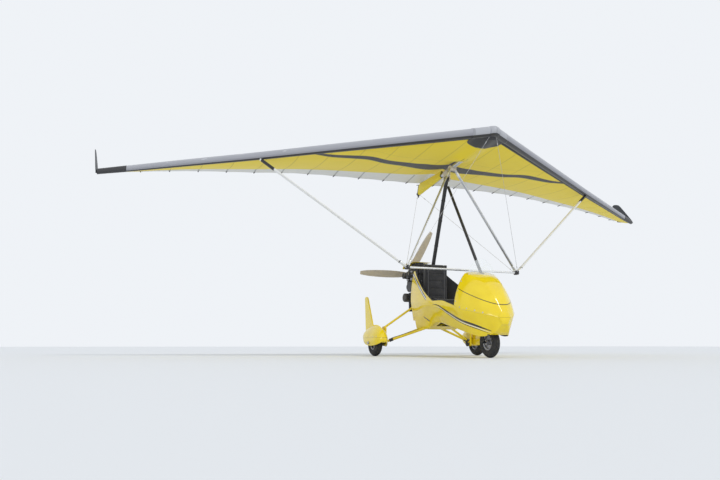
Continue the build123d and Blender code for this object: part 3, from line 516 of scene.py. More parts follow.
# Rise above the chord line in metres, start and length as shares of the end rib's chord, thickness in metres.
FIN_TABLE = [
    (-0.016, -0.02, 0.84, 0.022),
    (0.040, 0.09, 0.79, 0.022),
    (0.140, 0.38, 0.67, 0.018),
    (0.240, 0.68, 0.54, 0.014),
    (0.305, 0.88, 0.42, 0.011),
    (0.332, 0.99, 0.27, 0.008),
]
fin_black = Finish("fin_black", roughness=0.5)
scuff = fin_black.noise(18, 5, (1, 1, 0.4), 0.65)
fin_black.feed("Base Color", fin_black.mix(fin_black.soft(scuff, 0.45, 0.85), (0.030, 0.034, 0.040),
                                           (0.070, 0.074, 0.080)))
fin_black.bump(fin_black.noise(500, 2) * 0.3 + scuff * 0.4, 0.0006)
for side, sign in (("port", 1), ("starboard", -1)):
    def fin_place(u, v, sign=sign):
        tip = rib_at(4.8)
        end = max(0.0, (v - 0.93) / 0.07)
        rise, start, length, thick = smooth_row(FIN_TABLE, FIN_TABLE[0][0] + 0.348 * min(1.0, v / 0.93))
        turn = 2 * math.pi * u
        share = (1 - math.cos(turn)) / 2
        close = math.sqrt(max(0.0, 1 - end * end))
        aft = (start + length * (0.5 + (share - 0.5) * (0.35 + 0.65 * close))) * tip["chord"]
        bulge = thick / 2 * math.sin(turn) * (1.35 - 0.7 * share) * close
        if share in (0.0, 1.0) or end == 1.0:
            bulge = 0.0
        rise += 0.006 * (1 - close) if end else 0.0
        pitch = math.radians(tip["pitch"])
        return Vector((tip["le_x"] - aft * math.cos(pitch) - rise * math.sin(pitch),
                       sign * (4.8 + 0.013 + 0.20 * max(0.0, rise)) + bulge,
                       tip["le_z"] - aft * math.sin(pitch) + rise * math.cos(pitch)))

    fin = moulded(f"tip_fin_{side}", 36, 40, fin_place)
    bpy.ops.object.shade_smooth_by_angle(angle=math.radians(50))
    dressed(fin, "wing", "moulded_black", fin_black, "tip_fins")


# Keel pocket: yellow cloth that hangs from the upper skin and wraps the keel tube behind the hang point,
# bound in black along its open edges.

keel_cloth, tone = sailcloth("keel_cloth", (0.80, 0.64, 0.02), (0.62, 0.48, 0.015))
bound = keel_cloth.soft(keel_cloth.x, 0.026, 0.022) + keel_cloth.soft(keel_cloth.x, 0.772, 0.776)
tone = keel_cloth.mix(bound, tone, (0.028, 0.028, 0.03))
keel_cloth.feed("Base Color", tone)
keel_cloth.bump(keel_cloth.height, 0.0015)


def pocket_place(u, v):
    x = AXLE_X - 0.205 + 0.79 * u
    low = keel_z(x)
    share = min(1.0, (AXLE_X + 2.05 - x) / 2.25)
    if x - AXLE_X > -0.145:
        high = on_wing(0.0, 1 + min(1.0, (share - 0.05) / 0.80))[0].z - 0.002
    else:
        high = 2.722
    high = min(high, 2.735)
    across = 1 - 2 * v
    if abs(across) > 0.35:
        drop = (abs(across) - 0.35) / 0.65
        where = Vector((x, math.copysign(0.0295 * (1 - drop) + 0.006 * drop, across),
                        low + (high - low) * drop))
    else:
        turn = across / 0.35 * math.pi / 2
        where = Vector((x, 0.0295 * math.sin(turn), low - 0.0295 * math.cos(turn)))
    return where, (0.79 * u, v * 0.3)


keel_sleeve = laid_sheet("keel_pocket_cloth", 48, 40, pocket_place)
dressed(keel_sleeve, "wing", "sail_yellow", keel_cloth, "keel_pocket")


# Seats: two foam pads in black woven covers, laid on the seat rails, one behind the other. Each cover is sewn
# in channels across its back and base, with a line of piping down both sides.

def padded_seat(node, name, voxel=0.008):
    source = nodes[node]
    pad = source.copy()
    pad.data = source.data.copy()
    pad.name = name
    for key in list(pad.keys()):
        del pad[key]
    bpy.context.scene.collection.objects.link(pad)
    pad.parent = None
    select_only(pad)
    bpy.ops.object.mode_set(mode="EDIT")
    bpy.ops.mesh.select_all(action="SELECT")
    bpy.ops.mesh.remove_doubles(threshold=0.0001)
    bpy.ops.mesh.normals_make_consistent(inside=False)
    bpy.ops.object.mode_set(mode="OBJECT")
    rounded = pad.modifiers.new("corners", "BEVEL")
    rounded.width, rounded.segments = 0.016, 3
    bpy.ops.object.modifier_apply(modifier=rounded.name)
    pad.data.remesh_voxel_size = voxel
    bpy.ops.object.voxel_remesh()
    shrunk = pad.modifiers.new("shrunk", "DISPLACE")
    shrunk.strength, shrunk.mid_level = -0.008, 0.0
    bpy.ops.object.modifier_apply(modifier=shrunk.name)
    before = [v.co.copy() for v in pad.data.vertices]
    cloth = pad.modifiers.new("Cloth", "CLOTH")
    cloth.settings.use_pressure = True
    cloth.settings.uniform_pressure_force = 4
    cloth.settings.effector_weights.gravity = 0
    for number in range(1, 21):
        bpy.context.scene.frame_set(number)
    bpy.ops.object.modifier_apply(modifier=cloth.name)
    bpy.context.scene.frame_set(1)
    for point, old in zip(pad.data.vertices, before):
        step = point.co - old
        if step.length > 0.012:
            point.co = old + step.normalized() * 0.012
    ways = [point.normal.copy() for point in pad.data.vertices]
    for point, facing in zip(pad.data.vertices, ways):
        y = abs(point.co.y)
        if max(facing.x, facing.z) > 0.6:
            along = point.co.z if facing.x > facing.z else point.co.x - AXLE_X
            off = (along + 0.055) % 0.11 - 0.055
            depth = math.exp(-(off / 0.008) ** 2) if y < 0.132 else 0.0
            depth = max(depth, math.exp(-((y - 0.135) / 0.008) ** 2))
            point.co -= facing * (0.0055 * depth)
    bpy.ops.object.shade_smooth()
    return pad


seat_cloth = Finish("seat_cloth", roughness=0.85, constants={"Sheen Weight": 0.3})
weave = seat_cloth.x.wave(0.0024) * seat_cloth.z.wave(0.0024) + seat_cloth.y.wave(0.0024)
wear = seat_cloth.noise(9, 4)
tone = seat_cloth.mix(seat_cloth.soft(wear, 0.4, 0.75) * 0.5 + weave * 0.1, (0.026, 0.026, 0.029),
                      (0.068, 0.068, 0.074))
facing = seat_cloth.node("ShaderNodeTexCoord", {}, {}, "Normal")
on_back = seat_cloth.soft(seat_cloth.node("ShaderNodeSeparateXYZ", {}, {0: facing}, "X"), 0.60, 0.75)
on_base = seat_cloth.soft(seat_cloth.node("ShaderNodeSeparateXYZ", {}, {0: facing}, "Z"), 0.60, 0.75)
across = (seat_cloth.soft(seat_cloth.z.off_line(0.11), 0.0030, 0.0015) * on_back
          + seat_cloth.soft((seat_cloth.x - AXLE_X).off_line(0.11), 0.0030, 0.0015) * on_base)
piping = seat_cloth.soft(abs(abs(seat_cloth.y) - 0.135), 0.0035, 0.0025) * (on_back + on_base)
tone = seat_cloth.mix(across * seat_cloth.soft(abs(seat_cloth.y), 0.136, 0.134), tone, (0.008, 0.008, 0.009))
seat_cloth.feed("Base Color", seat_cloth.mix(piping, tone, (0.16, 0.16, 0.17)))
seat_cloth.bump(weave * 0.3 + wear, 0.0015)
for node in ("front_seat", "rear_seat"):
    pad = padded_seat(node, node + "_pad")
    dressed(pad, "trike", "seat_cloth", seat_cloth, node)


# Pod, spats and cowl: glass fibre shells in yellow gel coat, polished, with laid-on black and white stripes.
# The pod is a tub and a hood, each moulded by itself, that meet along the side crease.

def gel_coat(name):
    coat = Finish(name, roughness=0.16, constants={"Coat Weight": 0.4, "Coat Roughness": 0.06})
    mottle = coat.noise(5, 4)
    dust = coat.noise(28, 5, (1, 1, 1), 0.7)
    tone = coat.mix(coat.soft(mottle, 0.3, 0.7), (0.83, 0.62, 0.008), (0.88, 0.68, 0.014))
    tone = coat.mix(coat.soft(dust, 0.55, 0.9) * coat.soft(coat.z, 0.7, 0.2) * 0.5, tone, (0.50, 0.38, 0.06))
    coat.feed("Roughness", coat.soft(dust, 0.3, 0.9) * 0.14 + 0.12)
    coat.bump(coat.noise(160, 2) * 0.12 + coat.noise(4, 2) * 0.8, 0.0015)
    return coat, tone


pod_coat, tone = gel_coat("pod_gel_coat")
ahead = pod_coat.x - AXLE_X
swoosh = pod_coat.node("ShaderNodeFloatCurve", {"points": [
    (0.0, 0.94), (1.0, 0.36), (0.145, 0.90), (0.28, 0.80), (0.51, 0.65), (0.80, 0.50)]},
    {"Value": (ahead - 0.94) / 1.1}) * 0.75
off = pod_coat.z - swoosh
taper = pod_coat.soft(ahead, 0.93, 1.25) * pod_coat.soft(ahead, 2.0, 1.75)
on_side = pod_coat.soft(abs(pod_coat.y), 0.12, 0.14) * pod_coat.soft(ahead, 0.92, 0.95)
side_band = pod_coat.soft(abs(off) - 0.003 - taper * 0.012, 0.001, -0.001) * on_side
pale = pod_coat.soft(abs(off + 0.024) - taper * 0.006, 0.001, -0.001) * on_side
thin = pod_coat.soft(abs(off + 0.040) - taper * 0.005, 0.001, -0.001) * on_side
sill_off = pod_coat.z - (1.180 - (ahead - 0.205) * 0.645) + 0.056
rear_side = pod_coat.soft(ahead, 0.74, 0.70)
rear_band = pod_coat.soft(abs(sill_off), 0.026, 0.024) * rear_side
rear_pale = pod_coat.soft(abs(sill_off + 0.004), 0.009, 0.008) * rear_side
hood_off = pod_coat.z - (0.863 - (ahead - 1.54) * 0.48)
hood_line = pod_coat.soft(abs(hood_off), 0.0045, 0.0035) * pod_coat.soft(ahead, 1.53, 1.54)
scoop_off = pod_coat.z - (0.571 - (ahead - 0.436) * 0.50)
scoop = (pod_coat.soft(abs(scoop_off) - pod_coat.soft(ahead, 0.44, 0.50) * 0.010, 0.001, -0.001)
         * pod_coat.soft(ahead, 0.436, 0.440) * pod_coat.soft(ahead, 0.600, 0.596)
         * pod_coat.soft(abs(pod_coat.y), 0.16, 0.17))
ink = (0.022, 0.022, 0.024)
for share, colour in ((scoop, ink), (side_band, ink), (pale, (0.80, 0.80, 0.78)), (thin, ink),
                      (rear_band, ink), (rear_pale, (0.80, 0.80, 0.78)), (hood_line, ink)):
    tone = pod_coat.mix(share, tone, colour)
# Inside, the bare laminate is flow coated in dark grey.
facing = pod_coat.node("ShaderNodeTexCoord", {}, {}, "Normal")
facing_y = pod_coat.node("ShaderNodeSeparateXYZ", {}, {0: facing}, "Y")
facing_z = pod_coat.node("ShaderNodeSeparateXYZ", {}, {0: facing}, "Z")
inside = pod_coat.soft(facing_y * pod_coat.y + facing_z * (pod_coat.z - (0.80 - ahead * 0.155)), 0.0, -0.02)
laminate = pod_coat.mix(pod_coat.soft(pod_coat.noise(60, 5, (1, 1, 1), 0.7), 0.4, 0.8), (0.042, 0.042, 0.046),
                        (0.085, 0.085, 0.09))
pod_coat.feed("Base Color", pod_coat.mix(inside, tone, laminate))
gloss = pod_coat.soft(pod_coat.noise(28, 5, (1, 1, 1), 0.7), 0.3, 0.9) * 0.14 + 0.12
pod_coat.feed("Roughness", gloss + inside * 0.45)

plain_coat, tone = gel_coat("plain_gel_coat")
plain_coat.feed("Base Color", tone)


def repaint(finish, *names):
    for name in names:
        node = nodes[name]
        node.data.materials.clear()
        node.data.materials.append(finish.material)


repaint(plain_coat, "engine_cowl")

# Pod sections: x ahead of the axle, bottom z and half width, side crease z and half width, top z and half
# width.
POD_TABLE = [
    (0.060, 0.520, 0.262, 0.800, 0.300, 1.300, 0.230),
    (0.280, 0.510, 0.265, 0.770, 0.336, 1.300, 0.241),
    (0.500, 0.500, 0.268, 0.740, 0.365, 1.300, 0.250),
    (0.700, 0.478, 0.254, 0.722, 0.384, 1.284, 0.256),
    (0.900, 0.455, 0.240, 0.705, 0.395, 1.260, 0.260),
    (1.100, 0.412, 0.246, 0.686, 0.400, 1.210, 0.262),
    (1.300, 0.372, 0.250, 0.665, 0.400, 1.150, 0.258),
    (1.590, 0.308, 0.248, 0.610, 0.385, 1.040, 0.200),
    (1.800, 0.262, 0.186, 0.562, 0.296, 0.925, 0.122),
    (1.955, 0.300, 0.104, 0.518, 0.190, 0.735, 0.076),
    (2.040, 0.398, 0.044, 0.482, 0.084, 0.556, 0.038),
]


def pod_half(x, share, inset=0.0):
    """Half outline of the pod at x: share 0 is the middle of the bottom, 1 the middle of the top."""
    _, low_z, low_half, crease_z, crease_half, top_z, top_half = smooth_row(POD_TABLE, x)
    belly_z, belly_half = low_z, low_half * 0.97
    if 0.122 < x < 0.79:
        line = 0.392 - (x - 0.064) * 0.0305 if x < 0.458 else 0.380 + (x - 0.458) * 0.3373
        if line < low_z:
            belly_z, belly_half = line, 0.238
    low_z, belly_z, top_z = low_z + inset, belly_z + inset, top_z - inset
    low_half, belly_half, crease_half, top_half = (
        w - inset for w in (low_half, belly_half, crease_half, top_half))
    bulge = ((crease_half + top_half) / 2 + (crease_half - top_half) * 0.22, (crease_z + top_z) / 2)
    marks = (0.0, 0.18, 0.26, 0.50, 0.85, 1.0)
    share = min(share, 2 - share)
    i = min(4, max(k for k in range(5) if marks[k] <= share))
    t = (share - marks[i]) / (marks[i + 1] - marks[i])
    corners = [(0.0, belly_z), (belly_half, belly_z), (low_half, low_z), (crease_half, crease_z)]
    if i < 3:
        (ay, az), (by, bz) = corners[i], corners[i + 1]
        return Vector((ay + (by - ay) * t, az + (bz - az) * t))
    if i == 3:
        return Vector(arc_point((crease_half, crease_z), bulge, (top_half, top_z), t)[0])
    crown = (0.0, top_z + 0.12 * top_half)
    return Vector(arc_point((top_half, top_z), crown, (-top_half, top_z), t / 2)[0])


def pod_ring(x, share, inset=0.0):
    """Point of the rounded outline: share -1 to 0 to starboard, 0 to 1 to port."""
    step, total = 0.012, Vector((0.0, 0.0))
    for offset, weight in ((-step, 0.25), (0.0, 0.5), (step, 0.25)):
        near = abs(share) + offset
        point = pod_half(x, abs(near), inset)
        if near < 0 or near > 1:
            point = Vector((-point.x, point.y))
        total += point * weight
    return total.x * (1 if share >= 0 else -1), total.y


def pod_place(u, v):
    nose = max(0.0, (u - 0.96) / 0.04)
    x = 0.060 + 1.980 * min(1.0, u / 0.96)
    # A ring stands on each side of the step in the belly.
    if abs(x - 0.122) < 0.009:
        x = 0.1215 if x < 0.122 else 0.1225
    y, z = pod_ring(x, 1 - 2 * v)
    close = math.sqrt(max(0.0, 1 - nose * nose))
    return Vector((AXLE_X + x + 0.022 * nose, y * close, 0.478 + (z - 0.478) * close if nose else z))


def prism(name, outline, half):
    """Plate with a side outline of x ahead of the axle and z, equally wide to port and starboard."""
    bpy.ops.mesh.primitive_circle_add(vertices=len(outline), fill_type="NGON")
    plate = bpy.context.object
    plate.name = name
    for point, (x, z) in zip(plate.data.vertices, outline):
        point.co = (AXLE_X + x, -half, z)
    bpy.ops.object.mode_set(mode="EDIT")
    bpy.ops.mesh.select_all(action="SELECT")
    bpy.ops.mesh.extrude_region_move(TRANSFORM_OT_translate={"value": (0, 2 * half, 0)})
    bpy.ops.mesh.select_all(action="SELECT")
    bpy.ops.mesh.normals_make_consistent(inside=False)
    bpy.ops.object.mode_set(mode="OBJECT")
    return plate


def cut(piece, tool, operation="DIFFERENCE"):
    """Cuts a piece with another, which is then thrown away."""
    select_only(piece)
    work = piece.modifiers.new("cut", "BOOLEAN")
    work.operation, work.object, work.solver = operation, tool, "EXACT"
    bpy.ops.object.modifier_apply(modifier=work.name)
    bpy.data.objects.remove(tool)


def walled_pod(name, holes=()):
    """The pod's skin, with holes in its floor (rear, front and half width), given its wall."""
    def in_floor(face, rear, front, half):
        across, up = abs(face.center.y), face.center.z
        return (up < 0.60 and face.normal.z < -0.3 and across < half
                and rear < face.center.x - AXLE_X < front)

    shell = moulded(name, 150, 112, pod_place)
    for rear, front, half in holes:
        for spot, way in (((AXLE_X + rear, 0, 0), (1, 0, 0)), ((AXLE_X + front, 0, 0), (1, 0, 0)),
                          ((0, half, 0), (0, 1, 0)), ((0, -half, 0), (0, 1, 0))):
            bpy.ops.object.mode_set(mode="EDIT")
            bpy.ops.mesh.select_all(action="DESELECT")
            bpy.ops.object.mode_set(mode="OBJECT")
            for face in shell.data.polygons:
                face.select = in_floor(face, rear - 0.03, front + 0.03, half + 0.03)
            bpy.ops.object.mode_set(mode="EDIT")
            bpy.ops.mesh.bisect(plane_co=spot, plane_no=way)
            bpy.ops.object.mode_set(mode="OBJECT")
        for face in shell.data.polygons:
            face.select = in_floor(face, rear, front, half)
        bpy.ops.object.mode_set(mode="EDIT")
        bpy.ops.mesh.delete(type="FACE")
        bpy.ops.object.mode_set(mode="OBJECT")
    wall = shell.modifiers.new("wall", "SOLIDIFY")
    wall.thickness, wall.offset = 0.008, -1
    bpy.ops.object.modifier_apply(modifier=wall.name)
    return shell


crease_line = [(1.590, 0.610), (1.800, 0.562), (1.955, 0.518), (2.040, 0.482), (2.3, 0.482), (2.3, 2.0)]
pod_tub = walled_pod("pod_shell", holes=[(1.475, 1.905, 0.152), (0.585, 0.752, 0.155)])
cut(pod_tub, prism("opening", [(-0.1, 2.0), (-0.1, 1.262), (0.112, 1.262), (0.205, 1.180), (0.560, 0.944),
                               (0.640, 0.897), (0.920, 0.752), (1.220, 0.740), (1.510, 0.655)] + crease_line,
                   0.6))
bpy.ops.object.shade_smooth_by_angle(angle=math.radians(40))
dressed(pod_tub, "trike", "pod_yellow", pod_coat, "pod_tub")

pod_hood = walled_pod("pod_hood_shell")
hood_room = [(1.5115, 2.0), (1.5115, 0.6575)] + [(x, z + 0.002) for x, z in crease_line]
cut(pod_hood, prism("hood_room", hood_room, 0.6), "INTERSECT")
bpy.ops.object.shade_smooth_by_angle(angle=math.radians(40))
dressed(pod_hood, "trike", "pod_yellow", pod_coat, "pod_hood")


# Tubes and plates of the frame: aluminium, anodised on the control frame and powder coated on the trike, with
# castings for the rims and turned steel for the axles. Here the solids of the frame get their finishes.

def satin(name, colour, wear, roughness=0.4, metallic=0.0, grain=(1, 1, 1)):
    """Powder coat or anodising: a fine orange peel, rubbed paler in patches."""
    coat = Finish(name, roughness=roughness, metallic=metallic)
    patches = coat.noise(14, 5, grain, 0.65)
    fine = coat.noise(420, 2, grain)
    coat.feed("Base Color", coat.mix(coat.soft(patches, 0.5, 0.85), colour, wear))
    coat.feed("Roughness", coat.soft(patches, 0.3, 0.8) * 0.16 + (roughness - 0.06))
    coat.bump(fine * 0.3 + patches * 0.3, 0.0006)
    return coat


anodised = satin("anodised", (0.60, 0.61, 0.63), (0.50, 0.51, 0.53), 0.34, 0.75)
bar_alloy = satin("bar_alloy", (0.80, 0.81, 0.82), (0.70, 0.71, 0.72), 0.30, 0.5)
strut_white = satin("strut_white", (0.78, 0.78, 0.77), (0.62, 0.62, 0.61), 0.35)
powder_black = satin("powder_black", (0.018, 0.018, 0.020), (0.050, 0.050, 0.052), 0.42)
gear_yellow = satin("gear_yellow", (0.82, 0.63, 0.012), (0.70, 0.52, 0.02), 0.32)
moulded_black = satin("moulded_black", (0.022, 0.022, 0.024), (0.045, 0.045, 0.048), 0.55)
cream_paint = satin("cream_paint", (0.62, 0.56, 0.45), (0.42, 0.37, 0.29), 0.45)
engine_black = satin("engine_black", (0.024, 0.024, 0.026), (0.085, 0.080, 0.076), 0.45)
exhaust_coat = satin("exhaust_coat", (0.085, 0.082, 0.080), (0.16, 0.11, 0.08), 0.6, 0.5)
turned_steel = satin("turned_steel", (0.50, 0.50, 0.51), (0.36, 0.36, 0.37), 0.3, 0.9)
cast_alloy = satin("cast_alloy", (0.33, 0.33, 0.35), (0.22, 0.21, 0.21), 0.45, 0.7)
blade_finish = satin("blade_finish", (0.56, 0.50, 0.41), (0.44, 0.38, 0.30), 0.36, grain=(1, 0.2, 1))
repaint(anodised, "keel_tube", "upright_port", "upright_starboard")
repaint(bar_alloy, "base_bar")
repaint(strut_white, "wing_strut_port", "wing_strut_starboard")
repaint(powder_black, "mast", "front_strut", "nose_fork", "engine_mount")
repaint(gear_yellow, "gear_leg_port", "gear_leg_starboard")
repaint(moulded_black, "bar_corners")
repaint(cream_paint, "apex_fitting", "hang_bracket")
repaint(engine_black, "engine")
repaint(exhaust_coat, "silencer")
repaint(turned_steel, "pitch_wires", "main_axle_port", "main_axle_starboard")
repaint(cast_alloy, "nose_rim", "main_rim_port", "main_rim_starboard")
repaint(blade_finish, "propeller")


# Instrument panel: a flat plate of black laminate, cut to the inside of the pod, that closes the rear of the
# hood.

ring = [pod_ring(1.524, 1 - 2 * i / 96, 0.0095) for i in range(96)]
bpy.ops.mesh.primitive_circle_add(vertices=96, fill_type="NGON")
panel_plate = bpy.context.object
panel_plate.name = "panel_plate"
for point, (y, z) in zip(panel_plate.data.vertices, ring):
    point.co = (AXLE_X + 1.514, y, z)
bpy.ops.object.mode_set(mode="EDIT")
bpy.ops.mesh.select_all(action="SELECT")
bpy.ops.mesh.extrude_region_move(TRANSFORM_OT_translate={"value": (0.012, 0, 0)})
bpy.ops.mesh.select_all(action="SELECT")
bpy.ops.mesh.bisect(plane_co=(0, 0, 0.80), plane_no=(0, 0, 1), clear_inner=True, use_fill=True)
bpy.ops.mesh.select_all(action="SELECT")
bpy.ops.mesh.normals_make_consistent(inside=False)
bpy.ops.object.mode_set(mode="OBJECT")
edge = panel_plate.modifiers.new("edge", "BEVEL")
edge.width, edge.segments, edge.limit_method = 0.0015, 2, "ANGLE"
bpy.ops.object.modifier_apply(modifier=edge.name)
bpy.ops.object.shade_smooth_by_angle(angle=math.radians(35))
dressed(panel_plate, "trike", "moulded_black", moulded_black, "instrument_panel")


# Windscreen: 4 mm clear acrylic with a round upper edge, bent cold to the curve of the hood and let into its
# top.

acrylic = Finish("acrylic", roughness=0.04, constants={"IOR": 1.49})
haze = acrylic.noise(40, 4)
acrylic.feed("Base Color", (0.86, 0.90, 0.92))
acrylic.feed("Alpha", acrylic.soft(haze, 0.4, 0.9) * 0.10 + 0.22)


def hood_top(x, y):
    """Height of the hood over a place, from the outline of the pod."""
    share = 1.0
    for i in range(200):
        share = 1 - i / 200
        if pod_ring(x, share)[0] >= abs(y):
            break
    return pod_ring(x, share)[1]


def screen_place(u, v):
    y = (2 * u - 1) * 0.205
    foot_x = 1.572 + 0.058 * (1 - (y / 0.205) ** 2)
    low = hood_top(foot_x, y) - 0.004
    top = 1.0 + (1.262 - 1.0) * math.sqrt(max(0.0, 1 - (y / 0.2055) ** 2)) if abs(y) < 0.2054 else 1.0
    high = max(low + 0.012, top)
    z = low + (high - low) * v
    return Vector((AXLE_X + foot_x - 0.26 * (z - low), y, z))


screen = moulded("wind_screen", 48, 16, screen_place)
wall = screen.modifiers.new("sheet", "SOLIDIFY")
wall.thickness = 0.004
bpy.ops.object.modifier_apply(modifier=wall.name)
bpy.ops.object.shade_smooth_by_angle(angle=math.radians(40))
dressed(screen, "trike", "clear", acrylic, "windscreen")


# Main beam: the round tube under the seats with its rails and steering head. Its rear pod foot ends on the
# floor of the pod, so what reaches below is cut off.

beam_source = nodes["main_beam"]
main_beam = beam_source.copy()
main_beam.data = beam_source.data.copy()
main_beam.name = "main_beam_tube"
for key in list(main_beam.keys()):
    del main_beam[key]
bpy.context.scene.collection.objects.link(main_beam)
main_beam.parent = None
select_only(main_beam)
bpy.ops.object.mode_set(mode="EDIT")
bpy.ops.mesh.select_all(action="SELECT")
bpy.ops.mesh.remove_doubles(threshold=0.00005)
bpy.ops.object.mode_set(mode="OBJECT")
cut(main_beam, prism("foot_room", [(0.20, -0.1), (0.20, 0.400), (0.32, 0.400), (0.32, -0.1)], 0.05))
bpy.ops.object.shade_smooth_by_angle(angle=math.radians(35))
dressed(main_beam, "trike", "frame_black", powder_black, "main_beam")


# Bolts of the wing frame and the trike: zinc plated hexagon heads on washers, with a few threads past the
# nut.

def at(x, y, z):
    """A place by its distance ahead of the axle, to port and above the ground."""
    return Vector((AXLE_X + x, y, z))


def joined(name, pieces):
    select_only(*pieces)
    bpy.ops.object.join()
    whole = bpy.context.object
    whole.name = name
    return whole


def set_out(master, name, spots):
    """Copies a piece to each spot (place, way of its upright, size), all as one piece without the first."""
    copies = []
    for place, way, size in spots:
        copy = master.copy()
        copy.data = master.data.copy()
        turn = Vector(way).to_track_quat("Z", "Y").to_matrix().to_4x4()
        copy.data.transform(Matrix.Translation(place) @ turn @ Matrix.Scale(size, 4))
        bpy.context.scene.collection.objects.link(copy)
        copies.append(copy)
    bpy.data.objects.remove(master)
    return joined(name, copies)


def turned(name, profile, spot=(0, 0, 0), way=(0, 0, 1), sides=32):
    """Piece turned about an axis: profile lists radius and height, with radius 0 where it closes."""
    last = len(profile) - 1
    stand = Vector(way).to_track_quat("Z", "Y").to_matrix()

    def place(u, v):
        radius, height = profile[round(v * last)]
        turn = 2 * math.pi * u
        return Vector(spot) + stand @ Vector((radius * math.cos(turn), radius * math.sin(turn), height))

    piece = moulded(name, sides, last, place)
    bpy.ops.object.shade_smooth_by_angle(angle=math.radians(35))
    return piece


def hex_bolt():
    bpy.ops.mesh.primitive_cylinder_add(vertices=6, radius=0.0078, depth=0.0055, location=(0, 0, 0.0043))
    head = bpy.context.object
    bpy.ops.object.transform_apply(location=True)
    edge = head.modifiers.new("edge", "BEVEL")
    edge.width, edge.segments = 0.0007, 2
    bpy.ops.object.modifier_apply(modifier=edge.name)
    washer = turned("washer", [(0, 0), (0.0100, 0), (0.0100, 0.0012), (0.0094, 0.0016), (0, 0.0016)],
                    sides=20)
    stem = turned("stem", [(0, 0.006), (0.0038, 0.006), (0.0038, 0.0098), (0.0031, 0.0106), (0, 0.0106)],
                  sides=12)
    return joined("bolt", [head, washer, stem])


both = (1, -1)
frame_spots = []
for s in both:
    side = (0, s, 0)
    frame_spots += [(at(1.108, s * 0.8795, 1.176), side, 1.0), (at(1.139, s * 0.8795, 1.160), side, 1.0),
                    (at(0.868, s * 0.0465, 2.672), side, 1.0), (at(0.914, s * 0.0465, 2.678), side, 1.0)]
dressed(set_out(hex_bolt(), "wing_bolts", frame_spots), "wing", "steel", turned_steel)
HANG_X, HANG_Z = 0.725, 2.574
hang_spots = [(at(HANG_X, s * 0.0415, HANG_Z), (0, s, 0), 1.5) for s in both]
dressed(set_out(hex_bolt(), "hang_bolts", hang_spots), "hang_bracket", "steel", turned_steel)
trike_spots = []
for s in both:
    side = (0, s, 0)
    for x, z in ((-0.40, 0.984), (-0.20, 0.984), (-0.04, 0.90), (-0.075, 0.80), (-0.10, 0.73)):
        trike_spots.append((at(x, s * 0.0362, z), side, 0.9))
    for x, z in ((-0.022, 0.395), (0.040, 0.395), (0.040, 0.245)):
        trike_spots.append((at(x, s * 0.7025, z), (0, -s, 0), 1.0))
dressed(set_out(hex_bolt(), "trike_bolts", trike_spots), "trike", "steel", turned_steel)


# Ends of the uprights and wing struts: sockets pressed on the tube, bright at the bar and black at the wing.

def strut_sleeve(name, low, high, first, last, chord, thick):
    """Socket round a flattened strut, between two distances from the low end."""
    way = (high - low).normalized()
    ahead = (Vector((1, 0, 0)) - way * way.x).normalized()
    bpy.ops.mesh.primitive_cylinder_add(vertices=36, radius=1, depth=1)
    sleeve = bpy.context.object
    sleeve.name = name
    turn = Matrix((ahead * chord / 2, way.cross(ahead) * thick / 2,
                   way * (last - first))).transposed().to_4x4()
    sleeve.data.transform(Matrix.Translation(low + way * (first + last) / 2) @ turn)
    edge = sleeve.modifiers.new("edge", "BEVEL")
    edge.width, edge.segments, edge.limit_method = 0.0018, 2, "ANGLE"
    bpy.ops.object.modifier_apply(modifier=edge.name)
    bpy.ops.object.shade_smooth_by_angle(angle=math.radians(35))
    return sleeve


bright_ends, black_ends = [], []
for s in both:
    foot = at(1.123, s * 0.854, 1.168)
    head, tip = at(0.891, s * 0.036, 2.680), at(0.517, s * 2.770, 2.650)
    bright_ends += [strut_sleeve("end", foot, head, 0.030, 0.105, 0.0605, 0.0295),
                    strut_sleeve("end", foot, head, 1.585, 1.665, 0.0605, 0.0295),
                    strut_sleeve("end", foot, tip, 0.034, 0.120, 0.0725, 0.0315)]
    black_ends += [strut_sleeve("end", foot, tip, 2.210, 2.425, 0.076, 0.035),
                   strut_sleeve("end", foot, tip, 0.118, 0.132, 0.0735, 0.0325)]
dressed(joined("strut_sockets", bright_ends), "wing", "alloy", bar_alloy)
dressed(joined("strut_outer_ends", black_ends), "wing", "moulded_black", moulded_black)


# Wire ends: steel sleeves swaged on both ends of each pitch wire, two at the bar's corner and one at the
# wing.

swages = []
for s in both:
    for foot, head in ((at(1.156, s * 0.854, 1.168), at(1.975, s * 0.030, 2.840)),
                       (at(1.090, s * 0.854, 1.168), at(-0.219, s * 0.010, 2.573))):
        way = (head - foot).normalized()
        swages += [(foot + way * 0.012, way, 1.0), (foot + way * 0.072, way, 0.8),
                   (head - way * 0.16, way, 1.0)]
swage = turned("swage", [(0, 0), (0.0045, 0.001), (0.0058, 0.004), (0.0058, 0.030), (0.0045, 0.034),
                         (0, 0.035)],
               sides=16)
dressed(set_out(swage, "wire_sleeves", swages), "wing", "steel_wire", turned_steel)


# Batten ends: black plastic plugs, each with a loop of cord that holds its batten in the scalloped trailing
# edge.

plug = turned("plug", [(0, 0), (0.008, 0), (0.008, 0.034), (0.0062, 0.042), (0.0072, 0.054), (0.005, 0.062),
                       (0, 0.063)],
              sides=14)
bpy.ops.mesh.primitive_torus_add(major_radius=0.011, minor_radius=0.0016, major_segments=18, minor_segments=8,
                                 location=(0, 0, 0.060), rotation=(math.pi / 2, 0, 0))
bpy.ops.object.transform_apply(location=True, rotation=True)
loop = bpy.context.object
loop.data.transform(Matrix.Diagonal((0.55, 1, 1, 1)))
tails = []
for s in both:
    for i in range(12):
        y = s * (FIRST_BATTEN + i * BATTEN_GAP)
        edge = on_wing(y, -1.0)[0]
        way = (edge - on_wing(y, -0.98)[0]).normalized()
        tails.append((edge - way * 0.030, way, 1.0))
dressed(set_out(joined("plug", [plug, loop]), "batten_ends", tails), "wing", "moulded_black", moulded_black)


